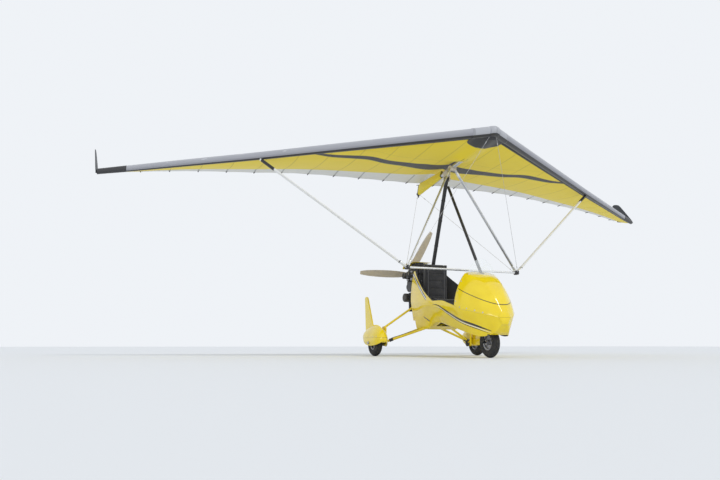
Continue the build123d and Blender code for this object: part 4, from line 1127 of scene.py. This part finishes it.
# Rear end of the keel: a black band with the wire tangs, and the webbing tab that tensions the keel pocket.

keel_way = Vector((math.cos(math.radians(6.12)), 0, math.sin(math.radians(6.12))))
band = turned("keel_band", [(0.0254, 0), (0.0300, 0), (0.0310, 0.003), (0.0310, 0.021), (0.0300, 0.024),
                            (0.0254, 0.024), (0.0254, 0)], at(-0.228, 0, keel_z(AXLE_X - 0.228)), keel_way)
tab = prism("pocket_tab", [(-0.196, 2.724), (-0.262, 2.737), (-0.264, 2.731), (-0.196, 2.716)], 0.013)
tang = prism("keel_tang", [(-0.226, 2.552), (-0.205, 2.552), (-0.205, 2.522), (-0.226, 2.516)], 0.007)
dressed(joined("keel_end", [band, tab, tang]), "wing", "moulded_black", moulded_black)


# Hang point: cream painted side discs with a rubber bush round the hang bolt, outside the cheeks of the hang
# bracket.

discs, bushes = [], []
for s in both:
    spot = at(HANG_X, s * 0.0354, HANG_Z)
    discs.append(turned("disc", [(0.021, 0), (0.038, 0), (0.038, 0.004), (0.034, 0.0065), (0.024, 0.0065),
                                 (0.021, 0.004), (0.021, 0)], spot, (0, s, 0), 40))
    bushes.append(turned("bush", [(0, 0), (0.0205, 0), (0.0205, 0.0035), (0.018, 0.0055), (0, 0.0055)], spot,
                         (0, s, 0)))
dressed(joined("hang_discs", discs), "hang_bracket", "bracket_cream", cream_paint)
dressed(joined("hang_bushes", bushes), "hang_bracket", "moulded_black", moulded_black)


# Mast trim: the red safety strap behind its top, which backs up the hang bolt, a black control cable and the
# plastic clips that hold the cable to the tube.

MAST_LEAN = 0.39997


def mast_x(z):
    return HANG_X - (HANG_Z - z) * MAST_LEAN


def ribbon(name, line, across, thick=0.0022):
    """Webbing along a line of places, as wide as the vector across."""
    def place(u, v):
        run = u * (len(line) - 1)
        i = min(int(run), len(line) - 2)
        return line[i].lerp(line[i + 1], run - i) + Vector(across) * (v - 0.5), (u, v)

    return laid_sheet(name, 8 * (len(line) - 1), 6, place, thick)


def pipe(name, points, radius):
    """Hose, cable or bar through its points, made a mesh."""
    line = bpy.data.curves.new(name, "CURVE")
    line.dimensions, line.bevel_depth, line.bevel_resolution, line.resolution_u = "3D", radius, 3, 6
    line.use_fill_caps = True
    run = line.splines.new("NURBS")
    run.points.add(len(points) - 1)
    for spot, place in zip(run.points, points):
        spot.co = (*place, 1)
    run.order_u = 3
    run.use_endpoint_u = True
    piece = bpy.data.objects.new(name, line)
    bpy.context.scene.collection.objects.link(piece)
    select_only(piece)
    bpy.ops.object.convert(target="MESH")
    bpy.ops.object.shade_smooth()
    return bpy.context.object


webbing = Finish("webbing", roughness=0.7, constants={"Sheen Weight": 0.2})
ribs = webbing.z.wave(0.0022)
webbing.feed("Base Color", webbing.mix(webbing.soft(webbing.noise(20, 4), 0.4, 0.8), (0.46, 0.012, 0.012),
                                       (0.30, 0.010, 0.012)))
webbing.bump(ribs, 0.0006)
strap_line = [at(mast_x(z) - 0.0325 - bow, 0.004, z) for z, bow in
              ((2.545, -0.004), (2.50, 0.001), (2.42, 0.006), (2.34, 0.004), (2.27, 0.0), (2.24, -0.002))]
dressed(ribbon("safety_strap", strap_line, (0, 0.026, 0)), "trike", "seat_cloth", webbing)
cable = pipe("mast_cable", [at(mast_x(z) - 0.0335 - bow, -0.006 + bow, z) for z, bow in
                            ((2.30, 0.0), (2.15, 0.004), (2.0, 0.0), (1.8, 0.005), (1.6, 0.0), (1.48, 0.004),
                             (1.42, 0.02))], 0.0065)
mast_way = Vector((MAST_LEAN, 0, 1)).normalized()
clips = [turned("clip", [(0.0284, 0), (0.0312, 0.001), (0.0312, 0.015), (0.0284, 0.016), (0.0284, 0)],
                at(mast_x(z), 0, z), mast_way) for z in (2.26, 1.98, 1.62)]
dressed(joined("mast_trim", clips + [cable]), "trike", "moulded_black", moulded_black)


# Hatch in the slanted floor of the pod: a black moulded box that closes the foot well behind the opening.

duct = prism("hatch_box", [(0.588, 0.455), (0.588, 0.60), (0.749, 0.60), (0.749, 0.511)], 0.1535)
edge = duct.modifiers.new("edge", "BEVEL")
edge.width, edge.segments = 0.004, 2
bpy.ops.object.modifier_apply(modifier=edge.name)
dressed(duct, "trike", "moulded_black", moulded_black)


# Fasteners of the hood: countersunk steel screws in cup washers along its rear edge and its lower edge, and
# along the rear edge of the tub.

def pod_spot(x, share, inset=0.0):
    """Place on the pod and the way straight out of it."""
    y, z = pod_ring(x, share, inset)
    here = Vector((AXLE_X + x, y, z))
    y, z = pod_ring(x, share + 0.01, inset)
    round_it = Vector((AXLE_X + x, y, z)) - here
    y, z = pod_ring(x + 0.01, share, inset)
    ahead = Vector((AXLE_X + x + 0.01, y, z)) - here
    out = round_it.cross(ahead).normalized()
    middle = Vector((AXLE_X + x, 0, 0.72))
    return here, (out if out.dot(here - middle) > 0 else -out)


screw = turned("screw", [(0, 0), (0.0085, 0), (0.0085, 0.0008), (0.0062, 0.0020), (0.0056, 0.0012),
                         (0.0022, 0.0010), (0, 0.0010)], sides=18)
spots = []
for s in both:
    for x, share in ((1.535, 0.56), (1.535, 0.66), (1.535, 0.76), (1.535, 0.86), (1.62, 0.517), (1.72, 0.517),
                     (1.82, 0.517), (1.91, 0.517), (0.10, 0.62), (0.10, 0.74), (0.10, 0.40), (0.10, 0.30)):
        here, out = pod_spot(x, s * share)
        spots.append((here, out, 1.0))
dressed(set_out(screw, "pod_screws", spots), "trike", "steel", turned_steel)


# Edge trim: black rubber pressed on the edge of the glass fibre, one strip along each side of the cockpit and
# one over the rear edge of the hood.

def pod_at_height(x, z):
    """Share of the outline at which the pod's side reaches a height."""
    low, high = 0.26, 0.98
    for _ in range(24):
        middle = (low + high) / 2
        if pod_ring(x, middle)[1] < z:
            low = middle
        else:
            high = middle
    return low


sill = [(0.112, 1.262), (0.205, 1.180), (0.38, 1.0637), (0.56, 0.944), (0.64, 0.897), (0.78, 0.8245),
        (0.93, 0.7516), (1.06, 0.7490), (1.22, 0.7400), (1.36, 0.6990), (1.50, 0.6580)]
trims = []
for s in both:
    line = []
    for x, z in sill:
        y, _ = pod_ring(x, s * pod_at_height(x, z), 0.004)
        line.append(at(x, y, z + 0.001))
    trims.append(pipe("trim", line, 0.0055))
hood_shares = [0.53 + 0.47 * i / 16 for i in range(17)] + [-1 + 0.47 * i / 16 for i in range(1, 17)]
hood_edge = [Vector((AXLE_X + 1.5105, *pod_ring(1.5105, share, 0.004))) for share in hood_shares]
trims.append(pipe("trim", hood_edge, 0.0055))
dressed(joined("edge_trim", trims), "trike", "moulded_black", moulded_black)


# Rubber grommet where the front strut goes through the hood: a moulded ring with a lip above and below the
# skin.

strut_way = Vector((-0.5808, 0, 1)).normalized()
grommet = turned("strut_grommet", [(0.0203, -0.012), (0.034, -0.010), (0.037, -0.002), (0.030, 0.010),
                                   (0.0203, 0.014), (0.0203, -0.012)], at(1.562, 0, 1.0575), strut_way)
dressed(grommet, "trike", "moulded_black", moulded_black)


# Instruments: round dials with black bezels, pale ticks and needles, set in the panel in two rows, and a row
# of toggle switches beside the lower one.

dial_black = satin("dial_black", (0.012, 0.012, 0.013), (0.03, 0.03, 0.03), 0.25)
dial_white = satin("dial_white", (0.80, 0.80, 0.76), (0.62, 0.62, 0.58), 0.5)
dials = [(-0.150, 0.985, 0.042), (-0.050, 0.990, 0.042), (0.050, 0.990, 0.042), (0.148, 0.985, 0.034),
         (-0.155, 0.885, 0.030), (-0.080, 0.885, 0.030), (-0.005, 0.885, 0.030)]
bezels, marks = [], []
for number, (y, z, r) in enumerate(dials):
    bezels.append(turned("bezel", [(0, 0.003), (0.84 * r, 0.003), (0.88 * r, 0.011), (0.98 * r, 0.012),
                                   (1.04 * r, 0.008), (1.06 * r, 0)], at(1.514, y, z), (-1, 0, 0), 40))
    for i in range(11):
        angle = math.radians(-130 + 26 * i)
        reach, length, half = (0.70 * r, 0.16 * r, 0.0008)
        if i == 10:
            angle, reach, length, half = math.radians(-100 + 37 * number), 0.26 * r, 0.62 * r, 0.0011
        spoke = Vector((0, -math.sin(angle), math.cos(angle)))
        bpy.ops.mesh.primitive_cube_add(size=1)
        tick = bpy.context.object
        stand = Matrix((Vector((0.0012, 0, 0)), Vector((0, math.cos(angle), math.sin(angle))) * 2 * half,
                        spoke * length)).transposed().to_4x4()
        tick.data.transform(Matrix.Translation(at(1.5104, y, z) + spoke * reach) @ stand)
        marks.append(tick)
toggles = [turned("toggle", [(0, 0.024), (0.0042, 0.022), (0.0032, 0.006), (0.0085, 0.004), (0.0085, 0)],
                  at(1.514, y, 0.885), (-1, 0, 0.25), 16) for y in (0.060, 0.090, 0.120, 0.150)]
dressed(joined("dial_bezels", bezels + toggles), "trike", "moulded_black", dial_black)
dressed(joined("dial_marks", marks), "trike", "moulded_black", dial_white)


# Wheels: ribbed tyres with moulded side lines on cast rims, held by a ring of bolts, each with its valve. The
# tread is cut in the tyre's material.

WHEEL_RADIUS = 0.190
WHEEL_Y = 0.86
wheels = {"nose": ("nose_tyre", "nose_wheel", 1.690, 0.0),
          "port": ("main_tyre_port", "main_wheel_port", 0.0, WHEEL_Y),
          "starboard": ("main_tyre_starboard", "main_wheel_starboard", 0.0, -WHEEL_Y)}
for name, (tyre, body, x, y) in wheels.items():
    rubber = Finish("tyre_" + name, roughness=0.8)
    dx, dy, dz = rubber.x - (AXLE_X + x), rubber.y - y, rubber.z - WHEEL_RADIUS
    reach = rubber.node("ShaderNodeMath", {"operation": "SQRT"}, {0: dx * dx + dz * dz})
    turn = rubber.node("ShaderNodeMath", {"operation": "ARCTAN2"}, {0: dz, 1: dx})
    grooves = rubber.soft(dy.off_line(0.016, 0.008), 0.0022, 0.0014) * rubber.soft(abs(dy), 0.036, 0.034)
    slant = (turn + abs(dy) * 4).off_line(2 * math.pi / 60)
    sipes = rubber.soft(slant, 0.012, 0.007) * rubber.soft(abs(dy), 0.018, 0.022)
    tread = (grooves + sipes * 0.8) * rubber.soft(reach, 0.172, 0.178)
    lines = rubber.soft(abs(reach - 0.128), 0.0016, 0.0008) + rubber.soft(abs(reach - 0.152), 0.0016, 0.0008)
    dust = rubber.noise(30, 5, (1, 1, 1), 0.65)
    tone = rubber.mix(rubber.soft(dust, 0.4, 0.8), (0.020, 0.020, 0.021), (0.058, 0.054, 0.048))
    # The grooves and sipes of the tread are also painted darker: painted shade in them.
    rubber.feed("Base Color", rubber.mix(tread * 0.8, tone, (0.006, 0.006, 0.006)))
    rubber.bump(lines * 0.8 - tread * 1.2 + rubber.noise(300, 2) * 0.1, 0.003)
    repaint(rubber, tyre)
    bolt_spots, centre = [], at(x, y, WHEEL_RADIUS)
    for s in both:
        for i in range(6):
            turn = math.radians(60 * i + 15)
            bolt_spots.append((centre + Vector((0.052 * math.cos(turn), s * 0.0088, 0.052 * math.sin(turn))),
                               (0, s, 0), 0.85))
    dressed(set_out(hex_bolt(), f"rim_bolts_{name}", bolt_spots), body, "steel", turned_steel)
    out = 1 if y >= 0 else -1
    spoke = Vector((math.cos(1.1), 0, math.sin(1.1)))
    valve = pipe("valve", [centre + spoke * 0.082 + Vector((0, out * 0.002, 0)),
                           centre + spoke * 0.074 + Vector((0, out * 0.010, 0)),
                           centre + spoke * 0.066 + Vector((0, out * 0.026, 0))], 0.0032)
    dressed(valve, body, "tyre", rubber)
    valve.name = "valve_" + name


# Axle nuts outside the main wheels: a flanged nut turned in steel on the threaded end of each stub axle.

nut_profile = [(0, 0), (0.023, 0), (0.023, 0.003), (0.019, 0.005), (0.019, 0.013), (0.015, 0.017),
               (0.009, 0.018), (0.008, 0.022), (0, 0.0225)]
nuts = [turned("nut", nut_profile, at(0, s * 0.9652, WHEEL_RADIUS), (0, s, 0), 24) for s in both]
dressed(joined("axle_nuts", nuts), "trike", "steel", turned_steel)


# Brake drums inboard of the main wheels: black drums round the axle, each with its cable, which runs in along
# the front leg.

drum_profile = [(0, 0), (0.046, 0), (0.052, 0.004), (0.052, 0.016), (0.046, 0.020), (0.020, 0.021),
                (0.016, 0.034), (0, 0.035)]
drums, brake_cables = [], []
for s in both:
    drums.append(turned("drum", drum_profile, at(0, s * 0.7025, WHEEL_RADIUS), (0, -s, 0), 36))
    cable_line = [at(0.02, s * 0.668, 0.205), at(0.07, s * 0.655, 0.250), at(0.10, s * 0.60, 0.275),
                  at(0.135, s * 0.50, 0.305), at(0.205, s * 0.38, 0.352), at(0.26, s * 0.30, 0.380),
                  at(0.30, s * 0.22, 0.405)]
    brake_cables.append(pipe("cable", cable_line, 0.0035))
dressed(joined("brake_drums", drums + brake_cables), "trike", "moulded_black", moulded_black)


# Boots at the foot of the lower legs: black moulded rubber sleeves with a lip, pushed over the tubes.

boot_profile = [(0.0172, 0), (0.025, 0.0), (0.026, 0.006), (0.022, 0.012), (0.0215, 0.052), (0.0172, 0.056),
                (0.0172, 0)]
boots = []
for s in both:
    foot = at(0.040, s * 0.696, 0.210)
    for top in (at(0.150, 0, 0.467), at(0.500, 0, 0.486)):
        way = (top - foot).normalized()
        boots.append(turned("boot", boot_profile, foot + way * 0.050, way, 28))
dressed(joined("leg_boots", boots), "trike", "moulded_black", moulded_black)


# Spats: two glass fibre halves a wheel, whose joint shows as a dark line, held together by screws above it.

spat_coat, tone = gel_coat("spat_gel_coat")
off_axle = spat_coat.x - AXLE_X
joint = spat_coat.soft(abs(spat_coat.z - 0.262), 0.0022, 0.0012) * spat_coat.soft(off_axle, -0.41, -0.39)
spat_coat.feed("Base Color", spat_coat.mix(joint * 0.75, tone, (0.10, 0.07, 0.01)))
repaint(spat_coat, "spat_port", "spat_starboard")
screw = turned("screw", [(0, 0), (0.0075, 0), (0.0075, 0.0008), (0.0055, 0.0018), (0.0020, 0.0010),
                         (0, 0.0010)], sides=16)
spots = []
for side, s in (("port", 1), ("starboard", -1)):
    for x in (-0.27, -0.17, -0.07, 0.05, 0.15, 0.25):
        for way in both:
            start = at(x, s * WHEEL_Y + way * 0.4, 0.278)
            hit, where, normal, _ = nodes["spat_" + side].ray_cast(start, Vector((0, -way, 0)))
            if hit and abs(where.y - s * WHEEL_Y) > 0.04:
                spots.append((where, normal, 1.0))
dressed(set_out(screw, "spat_screws", spots), "trike", "steel", turned_steel)


# Propeller hub: two turned alloy plates that clamp the roots of the wooden blades between them, with six long
# bolts.

PROPELLER_Z = 1.300
plates = [turned("plate", [(0.020, 0), (0.055, 0), (0.057, 0.002), (0.057, 0.006), (0.055, 0.008),
                           (0.020, 0.008), (0.020, 0)], at(-0.6515, 0, PROPELLER_Z), (-1, 0, 0), 40),
          turned("plate", [(0.020, 0), (0.054, 0), (0.056, 0.002), (0.056, 0.004), (0.020, 0.005),
                           (0.020, 0)],
                 at(-0.5885, 0, PROPELLER_Z), (1, 0, 0), 40)]
dressed(joined("hub_plates", plates), "propeller", "alloy", cast_alloy)
hub_spots = []
for i in range(6):
    turn = math.radians(60 * i)
    hub_spots.append((at(-0.6595, 0.039 * math.cos(turn), PROPELLER_Z + 0.039 * math.sin(turn)), (-1, 0, 0),
                      1.1))
dressed(set_out(hex_bolt(), "hub_bolts", hub_spots), "propeller", "steel", turned_steel)


# Radiator: a black tank at each end of an alloy core of fine fins, with its filler cap and two hoses to the
# engine.

core = Finish("radiator_core", roughness=0.5, metallic=0.4)
fins = core.z.wave(0.0026) * 0.5 + core.soft(core.y.off_line(0.0105), 0.0016, 0.0008) * 0.8
frame_part = core.node("ShaderNodeMath", {"operation": "MAXIMUM"},
                       {0: core.soft(abs(core.y), 0.147, 0.148),
                        1: core.soft(abs(core.z - 0.821), 0.128, 0.129)})
# Painted shade: the core is near black in the gaps between the fins and paler on the fins.
tone = core.mix(fins, (0.030, 0.030, 0.032), (0.17, 0.17, 0.175))
core.feed("Base Color", core.mix(frame_part, tone, (0.020, 0.020, 0.022)))
core.bump(fins * (1 - frame_part) + core.noise(60, 3) * 0.2, 0.0015)
repaint(core, "radiator")
cap = turned("cap", [(0, 0), (0.019, 0), (0.019, 0.008), (0.024, 0.010), (0.024, 0.020), (0.019, 0.024),
                     (0, 0.025)],
             at(-0.268, -0.120, 0.966), (0, 0, 1))
hoses = [pipe("hose", [at(-0.250, -0.140, 0.925), at(-0.215, -0.142, 0.930), at(-0.175, -0.140, 0.965),
                       at(-0.172, -0.132, 1.02), at(-0.185, -0.116, 1.06), at(-0.20, -0.105, 1.075)], 0.0150),
         pipe("hose", [at(-0.250, 0.130, 0.710), at(-0.200, 0.128, 0.712), at(-0.150, 0.118, 0.760),
                       at(-0.130, 0.100, 0.86), at(-0.135, 0.080, 0.96), at(-0.150, 0.070, 1.03),
                       at(-0.155, 0.060, 1.05)], 0.0150)]
dressed(joined("coolant_hoses", hoses), "trike", "moulded_black", moulded_black)
clamps = [turned("clamp", [(0.0152, 0), (0.0172, 0), (0.0172, 0.009), (0.0152, 0.009), (0.0152, 0)], spot,
                 way, 28)
          for spot, way in ((at(-0.243, -0.1405, 0.926), (1, 0, 0.05)), (at(-0.243, 0.130, 0.710), (1, 0, 0)),
                            (at(-0.190, -0.112, 1.066), (-0.45, 0.4, 0.4)),
                            (at(-0.150, 0.068, 1.034), (-0.1, -0.2, 1)))]
dressed(joined("hose_clamps", clamps + [cap]), "trike", "steel", turned_steel)


# Engine trim: spark plug caps and leads, carburettor tops with cables, pleated air filters with clamps, a
# starter, the white coolant bottle, the ignition box and its loom.

cap_profile = [(0, 0), (0.0135, 0), (0.0145, 0.006), (0.0125, 0.012), (0.0115, 0.034), (0.0085, 0.046),
               (0.0055, 0.050), (0, 0.051)]
band_profile = [(0.0440, 0), (0.0480, 0), (0.0480, 0.008), (0.0440, 0.008), (0.0440, 0)]
caps, leads, carb_tops, filters, filter_bands = [], [], [], [], []
for x in (-0.371, -0.231):
    caps.append(turned("cap", cap_profile, at(x, 0.098, 1.420), (0, 1, 0.1), 20))
    leads.append(pipe("lead", [at(x, 0.146, 1.425), at(x + 0.02, 0.166, 1.422), at(x + 0.07, 0.165, 1.40),
                               at(x + 0.11, 0.140, 1.37), at(-0.148, 0.110, 1.335), at(-0.126, 0.060, 1.310),
                               at(-0.124, 0.030 + 0.05 * (x > -0.3), 1.300)], 0.0038))
    carb_tops.append(turned("carb_top", [(0, 0.026), (0.010, 0.026), (0.012, 0.014), (0.024, 0.012),
                                         (0.0265, 0.008), (0.0265, -0.004), (0.024, -0.006), (0, -0.006)],
                            at(x, -0.134, 1.292), (0, 0, 1), 28))
    carb_tops.append(turned("float_bowl", [(0, -0.036), (0.014, -0.034), (0.025, -0.020), (0.027, 0.0),
                                           (0.0275, 0.006), (0, 0.008)], at(x, -0.134, 1.190), (0, 0, 1), 28))
    leads.append(pipe("lead", [at(x, -0.134, 1.315), at(x, -0.134, 1.345), at(x + 0.03, -0.128, 1.375),
                               at(x + 0.09, -0.10, 1.375), at(-0.115, -0.055, 1.33),
                               at(-0.100, -0.030, 1.22)], 0.0032))

    def filter_place(u, v, x=x):
        turn, length = 2 * math.pi * u, 0.066 * min(1.0, max(0.0, (v - 0.1) / 0.8))
        radius = 0.0455 + 0.0014 * math.cos(22 * turn)
        if v < 0.05 or v > 0.95:
            radius = 0.0
        return at(x + radius * math.cos(turn), -0.1545 - length, 1.245 + radius * math.sin(turn))

    cone = moulded("filter", 132, 10, filter_place)
    filters.append(cone)
    for y in (-0.160, -0.2195):
        filter_bands.append(turned("band", band_profile, at(x, y, 1.245), (0, 1, 0), 40))
dressed(joined("plug_caps", caps + leads), "trike", "moulded_black", moulded_black)
dressed(joined("carburettor_tops", carb_tops), "trike", "alloy", cast_alloy)
filter_cloth = satin("filter_cloth", (0.055, 0.055, 0.058), (0.12, 0.11, 0.10), 0.8)
dressed(joined("air_filters", filters), "trike", "engine_black", filter_cloth)
dressed(joined("filter_bands", filter_bands), "trike", "steel", turned_steel)

bottle = prism("coolant_bottle", [(-0.222, 0.770), (-0.222, 0.880), (-0.150, 0.880), (-0.138, 0.862),
                                  (-0.138, 0.770)],
               0.040)
bottle.data.transform(Matrix.Translation((0, -0.118, 0)))
soft_edge = bottle.modifiers.new("edge", "BEVEL")
soft_edge.width, soft_edge.segments = 0.010, 3
bpy.ops.object.modifier_apply(modifier=soft_edge.name)
bpy.ops.object.shade_smooth_by_angle(angle=math.radians(40))
bottle_cap = turned("bottle_cap", [(0, 0), (0.013, 0), (0.013, 0.014), (0.018, 0.015), (0.018, 0.028),
                                   (0.015, 0.031), (0, 0.031)], at(-0.182, -0.118, 0.876), (0, 0, 1), 28)
tank_white = satin("tank_white", (0.80, 0.80, 0.77), (0.66, 0.65, 0.58), 0.4)
dressed(joined("coolant_bottle", [bottle, bottle_cap]), "trike", "clear", tank_white)

box = prism("ignition_box", [(-0.137, 1.262), (-0.137, 1.345), (-0.108, 1.345), (-0.108, 1.262)], 0.062)
edge = box.modifiers.new("edge", "BEVEL")
edge.width, edge.segments = 0.005, 2
bpy.ops.object.modifier_apply(modifier=edge.name)
starter_profile = [(0, 0), (0.034, 0), (0.036, 0.004), (0.036, 0.100), (0.031, 0.106), (0.028, 0.130),
                   (0.015, 0.134), (0, 0.134)]
starter = turned("starter", starter_profile, at(-0.300, 0.128, 1.050), (-1, 0, 0), 32)
loom = pipe("loom", [at(-0.120, -0.045, 1.265), at(-0.112, -0.060, 1.20), at(-0.118, -0.072, 1.12),
                     at(-0.125, -0.060, 1.03), at(-0.105, -0.042, 0.95), at(-0.105, -0.040, 0.80),
                     at(-0.110, -0.036, 0.60)], 0.0075)
dressed(joined("ignition_parts", [box, starter, loom]), "trike", "engine_black", engine_black)

case_spots = []
for s in both:
    for x in (-0.44, -0.37, -0.30, -0.23, -0.16):
        case_spots.append((at(x, s * 0.1125, 1.030), (0, s, 0), 0.8))
for i in range(8):
    turn = math.radians(45 * i + 22)
    case_spots.append((at(-0.109, 0.068 * math.cos(turn), 1.085 + 0.068 * math.sin(turn)), (1, 0, 0), 0.7))
    case_spots.append((at(-0.5525, 0.070 * math.cos(turn), 1.085 + 0.070 * math.sin(turn)), (-1, 0, 0), 0.8))
for x in (-0.371, -0.231):
    for i in range(4):
        turn = math.radians(90 * i + 45)
        case_spots.append((at(x + 0.05 * math.cos(turn), 0.05 * math.sin(turn), 1.4455), (0, 0, 1), 0.9))
dressed(set_out(hex_bolt(), "engine_bolts", case_spots), "trike", "steel", turned_steel)

springs = []
for dy in (-0.018, 0.018):
    coil = []
    for i in range(24):
        turn = i * math.pi / 2
        coil.append(at(-0.308 + dy + 0.005 * math.cos(turn), 0.118 + 0.0016 * i,
                       1.285 + 0.005 * math.sin(turn)))
    springs.append(pipe("spring", coil, 0.0012))
dressed(joined("exhaust_springs", springs), "trike", "steel", turned_steel)


# Belts: a lap belt on each seat in black webbing, with a pressed steel buckle. Both halves come up between
# the seat and the wall of the pod.

belt_cloth = Finish("belt_cloth", roughness=0.75, constants={"Sheen Weight": 0.2})
weave = belt_cloth.y.wave(0.0024)
belt_cloth.feed("Base Color", belt_cloth.mix(belt_cloth.soft(belt_cloth.noise(16, 4), 0.4, 0.8),
                                             (0.05, 0.05, 0.055), (0.09, 0.09, 0.095)))
belt_cloth.bump(weave, 0.0008)
belts, buckles = [], []
for x, z in ((0.440, 0.756), (0.830, 0.676)):
    for s in both:
        line = [at(x - 0.02, s * 0.212, z - 0.085), at(x - 0.015, s * 0.210, z - 0.015),
                at(x - 0.01, s * 0.188, z + 0.012), at(x, s * 0.12, z + 0.010),
                at(x + 0.01, s * 0.03, z + 0.013)]
        belts.append(ribbon("belt", line, (0.046, 0, 0.002), 0.003))
    bpy.ops.mesh.primitive_cube_add(size=1, location=at(x + 0.01, 0, z + 0.0175), scale=(0.060, 0.078, 0.012))
    buckle = bpy.context.object
    bpy.ops.object.transform_apply(location=True, scale=True)
    bpy.ops.object.mode_set(mode="EDIT")
    bpy.ops.mesh.select_all(action="DESELECT")
    bpy.ops.object.mode_set(mode="OBJECT")
    for face in buckle.data.polygons:
        face.select = face.normal.z > 0.9
    bpy.ops.object.mode_set(mode="EDIT")
    bpy.ops.mesh.inset(thickness=0.010)
    bpy.ops.transform.translate(value=(0, 0, -0.004))
    bpy.ops.object.mode_set(mode="OBJECT")
    edge = buckle.modifiers.new("edge", "BEVEL")
    edge.width, edge.segments = 0.002, 2
    bpy.ops.object.modifier_apply(modifier=edge.name)
    buckles.append(buckle)
dressed(joined("lap_belts", belts), "trike", "seat_cloth", belt_cloth)
dressed(joined("belt_buckles", buckles), "trike", "steel", turned_steel)


# Floor, light and camera: a pale floor that runs into a pale background, soft light from above, a wide low
# lamp from the starboard bow for the underside, and the camera on that side, low, where the photograph was
# taken from.

bpy.ops.mesh.primitive_plane_add(size=160, location=(0, 0, 0))
floor = bpy.context.object
floor.name = "floor"
floor_finish = Finish("pale_floor", roughness=0.9)
floor_finish.feed("Base Color", (0.80, 0.82, 0.84))
floor.data.materials.append(floor_finish.material)

world = bpy.data.worlds.new("pale_room")
bpy.context.scene.world = world
world.use_nodes = True
tree = world.node_tree
background = tree.nodes["Background"]
background.inputs["Color"].default_value = (0.93, 0.96, 1.0, 1)
seen = tree.nodes.new("ShaderNodeLightPath")
plain = tree.nodes.new("ShaderNodeMath")
plain.operation = "MAXIMUM"
tree.links.new(seen.outputs["Is Camera Ray"], plain.inputs[0])
tree.links.new(seen.outputs["Is Glossy Ray"], plain.inputs[1])
plainer = tree.nodes.new("ShaderNodeMath")
plainer.operation = "MAXIMUM"
tree.links.new(plain.outputs[0], plainer.inputs[0])
tree.links.new(seen.outputs["Is Transmission Ray"], plainer.inputs[1])
strength = tree.nodes.new("ShaderNodeMapRange")
tree.links.new(plainer.outputs[0], strength.inputs["Value"])
strength.inputs["To Min"].default_value = 0.72
strength.inputs["To Max"].default_value = 0.93
tree.links.new(strength.outputs[0], background.inputs["Strength"])


def lamp(name, kind, place, aim, energy, size):
    light = bpy.data.lights.new(name, kind)
    light.energy = energy
    if kind == "AREA":
        light.shape, light.size = "DISK", size
    else:
        light.angle = size
    stand = bpy.data.objects.new(name, light)
    bpy.context.scene.collection.objects.link(stand)
    stand.location = place
    stand.rotation_euler = (Vector(aim) - Vector(place)).to_track_quat("-Z", "Y").to_euler()


lamp("key", "SUN", (6, 2, 8), (0, 0, 1.2), 1.0, 0.25)
lamp("fill", "AREA", (AXLE_X + 16.6, -16, 1.6), (AXLE_X + 0.6, 0, 2.0), 1040, 10)

camera = bpy.data.cameras.new("camera")
camera.lens, camera.sensor_width = 29, 36
stand = bpy.data.objects.new("camera", camera)
bpy.context.scene.collection.objects.link(stand)
azimuth, distance, height = math.radians(61.1), 8.5, 0.15
aim = Vector((AXLE_X + 0.30, -1.21, 1.65))
stand.location = Vector((AXLE_X + 0.57 + distance * math.sin(azimuth), -distance * math.cos(azimuth), height))
stand.rotation_euler = (aim - stand.location).to_track_quat("-Z", "Y").to_euler()
bpy.context.scene.camera = stand
bpy.context.scene.view_settings.view_transform = "Standard"
